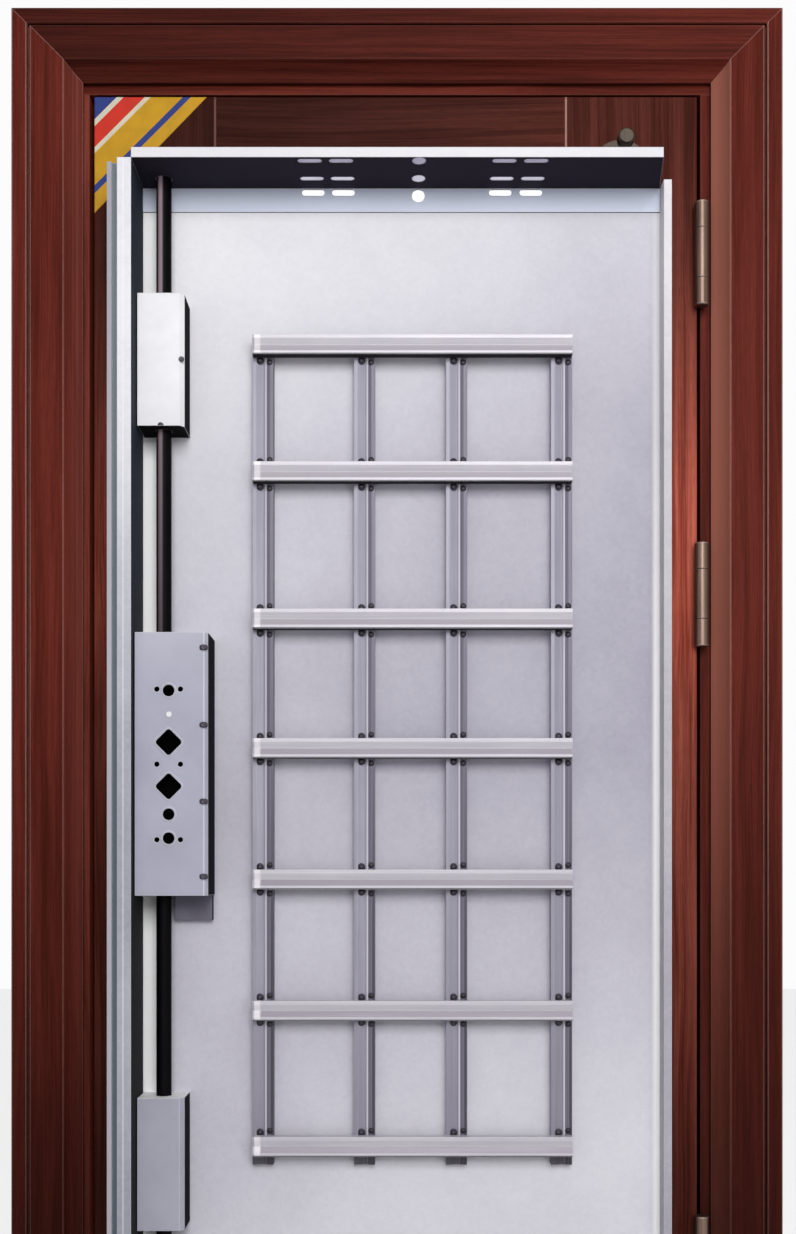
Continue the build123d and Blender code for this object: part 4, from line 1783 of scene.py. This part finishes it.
    def _dimple(self) -> None:
        """Add the pale dimple above the main cover's upper diamond hole."""
        low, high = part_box("main_lock_box")
        pale = replace(
            self.cover, name="dimple_paint", middle="#f2f2f8", low="#e8e8f0", patches=()
        ).build()
        level = (low.z + high.z) / 2 + self.dimple_up
        seat = (low.x + self.hole_inset, low.y + self.clip_sunk, level)
        make_piece("cover_dimple", self.dimple.rings(), [seat], Facing.VIEWER, pale, Ride.COVER)

    def _tail(self) -> None:
        """Make the block under the main cover, from the lower rod to the cover's right side."""
        _, rod_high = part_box("lower_rod")
        cover_low, cover_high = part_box("main_lock_box")
        back_low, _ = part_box("tray_back_sheet")
        left = rod_high.x + self.tail_clear
        half = ((cover_high.x - self.tail_clear - left) / 2, self.tail_height / 2)
        steps = (
            (0.0, -self.tail_sunk),
            (0.0, self.tail_depth - self.tail_ease),
            (self.tail_ease, self.tail_depth),
            (self.tail_draw, self.tail_depth),
        )
        block = pressed(half, steps, self.tail_power, self.outline_sides)
        seat = (left + half[0], back_low.y, cover_low.z + self.tail_up - half[1])
        grey = self.tail_steel.build()
        make_piece("lock_tail", block, [seat], Facing.VIEWER, grey, Ride.COVER, False)


@dataclass(frozen=True)
class Softbox:
    """A rectangular lamp: where it hangs, its width and height, and its power in watts."""

    name: str
    place: Point
    size: tuple[float, float]
    power: float


@dataclass
class Studio:
    """Camera, lamps, floor and the pale background."""

    eye: Point = (0.0014, -1.980, 0.911)
    lens: float = 39.886
    sensor: float = 36.0
    rise: float = 0.2002
    floor_half: float = 8.0
    floor_steps: int = 8
    floor_roughness: float = 0.9
    floor_glow: float = 0.62
    pale: Colour = (0.6, 0.6, 0.61, 1.0)
    white: Colour = (1.0, 1.0, 1.0, 1.0)
    sky: float = 0.28
    backdrop: float = 0.97
    target: Point = (0.0, 0.0, 1.1)
    lamps: tuple[Softbox, ...] = (
        Softbox("key_softbox", (0.35, -4.4, 2.9), (2.0, 2.2), 125.0),
        Softbox("fill_softbox", (1.9, -3.9, 1.5), (1.8, 2.4), 26.0),
    )

    def build(self) -> None:
        """Set up the camera, lamps, floor and world."""
        self._camera()
        for lamp in self.lamps:
            self._lamp(lamp)
        self._floor()
        self._world()
        bpy.context.scene.view_settings.view_transform = "Standard"

    def _camera(self) -> None:
        """Put the camera level in front of the door, with its frame shifted up."""
        data = bpy.data.cameras.new("viewer")
        data.lens = self.lens
        data.sensor_width = self.sensor
        data.shift_y = self.rise
        camera = bpy.data.objects.new("viewer", data)
        camera.location = self.eye
        camera.rotation_euler = (math.pi / 2, 0, 0)
        bpy.context.scene.collection.objects.link(camera)
        bpy.context.scene.camera = camera

    def _lamp(self, softbox: Softbox) -> None:
        """Hang one lamp, turned towards the door.

        Args:
            softbox: The lamp's place, size and power.
        """
        data = bpy.data.lights.new(softbox.name, "AREA")
        data.shape = "RECTANGLE"
        data.size, data.size_y = softbox.size
        data.energy = softbox.power
        lamp = bpy.data.objects.new(softbox.name, data)
        lamp.location = softbox.place
        aim = Vector(self.target) - Vector(softbox.place)
        lamp.rotation_euler = aim.to_track_quat("-Z", "Y").to_euler()
        bpy.context.scene.collection.objects.link(lamp)

    def _floor(self) -> None:
        """Lay a flat square grid of points as the floor, at the sill's underside."""
        steps = np.linspace(-self.floor_half, self.floor_half, self.floor_steps)
        x, y = np.meshgrid(steps, steps)
        points = np.stack([x, y, np.zeros_like(x)], axis=-1).reshape(-1, 3)
        mesh = bpy.data.meshes.new("studio_floor")
        mesh.from_pydata(points.tolist(), [], sheet_faces(*x.shape).tolist())
        material = bpy.data.materials.new("floor_pale")
        material.use_nodes = True
        board = Board(material.node_tree)
        shader = material.node_tree.nodes["Principled BSDF"]
        shader.inputs["Base Color"].default_value = self.pale
        shader.inputs["Roughness"].default_value = self.floor_roughness
        shader.inputs["Emission Color"].default_value = self.white
        glow = board.math("MULTIPLY", self._looked_at(board), self.floor_glow)
        board.join(glow, shader.inputs["Emission Strength"])
        mesh.materials.append(material)
        floor = bpy.data.objects.new("studio_floor", mesh)
        bpy.context.scene.collection.objects.link(floor)

    @staticmethod
    def _looked_at(board: Board) -> Socket:
        """Pick out the rays that look, from those that light.

        Args:
            board: The board that the nodes go on.

        Returns:
            1 for rays from the camera, off gloss and through glass, and 0 for the rest.
        """
        path = board.add("ShaderNodeLightPath").outputs
        either = board.math("MAXIMUM", path["Is Glossy Ray"], path["Is Transmission Ray"])
        return board.math("MAXIMUM", path["Is Camera Ray"], either)

    def _world(self) -> None:
        """Light the room evenly, and show the camera, gloss and glass a pale background."""
        world = bpy.data.worlds.new("studio_room")
        world.use_nodes = True
        bpy.context.scene.world = world
        board = Board(world.node_tree)
        background = world.node_tree.nodes["Background"]
        background.inputs["Color"].default_value = self.white
        shown = self.backdrop - self.sky
        strength = board.math("MULTIPLY_ADD", self._looked_at(board), shown, self.sky)
        board.join(strength, background.inputs["Strength"])


def main() -> None:
    """Build the door's parts in order, then the studio."""
    logging.basicConfig(level=logging.INFO, format="%(name)s: %(message)s")
    for part in (CasedFrame(), Hinges(), Leaf(), Tray(), Grid(), LockGear(), Studio()):
        LOG.info("building %s", type(part).__name__)
        part.build()


if __name__ == "__main__":
    main()
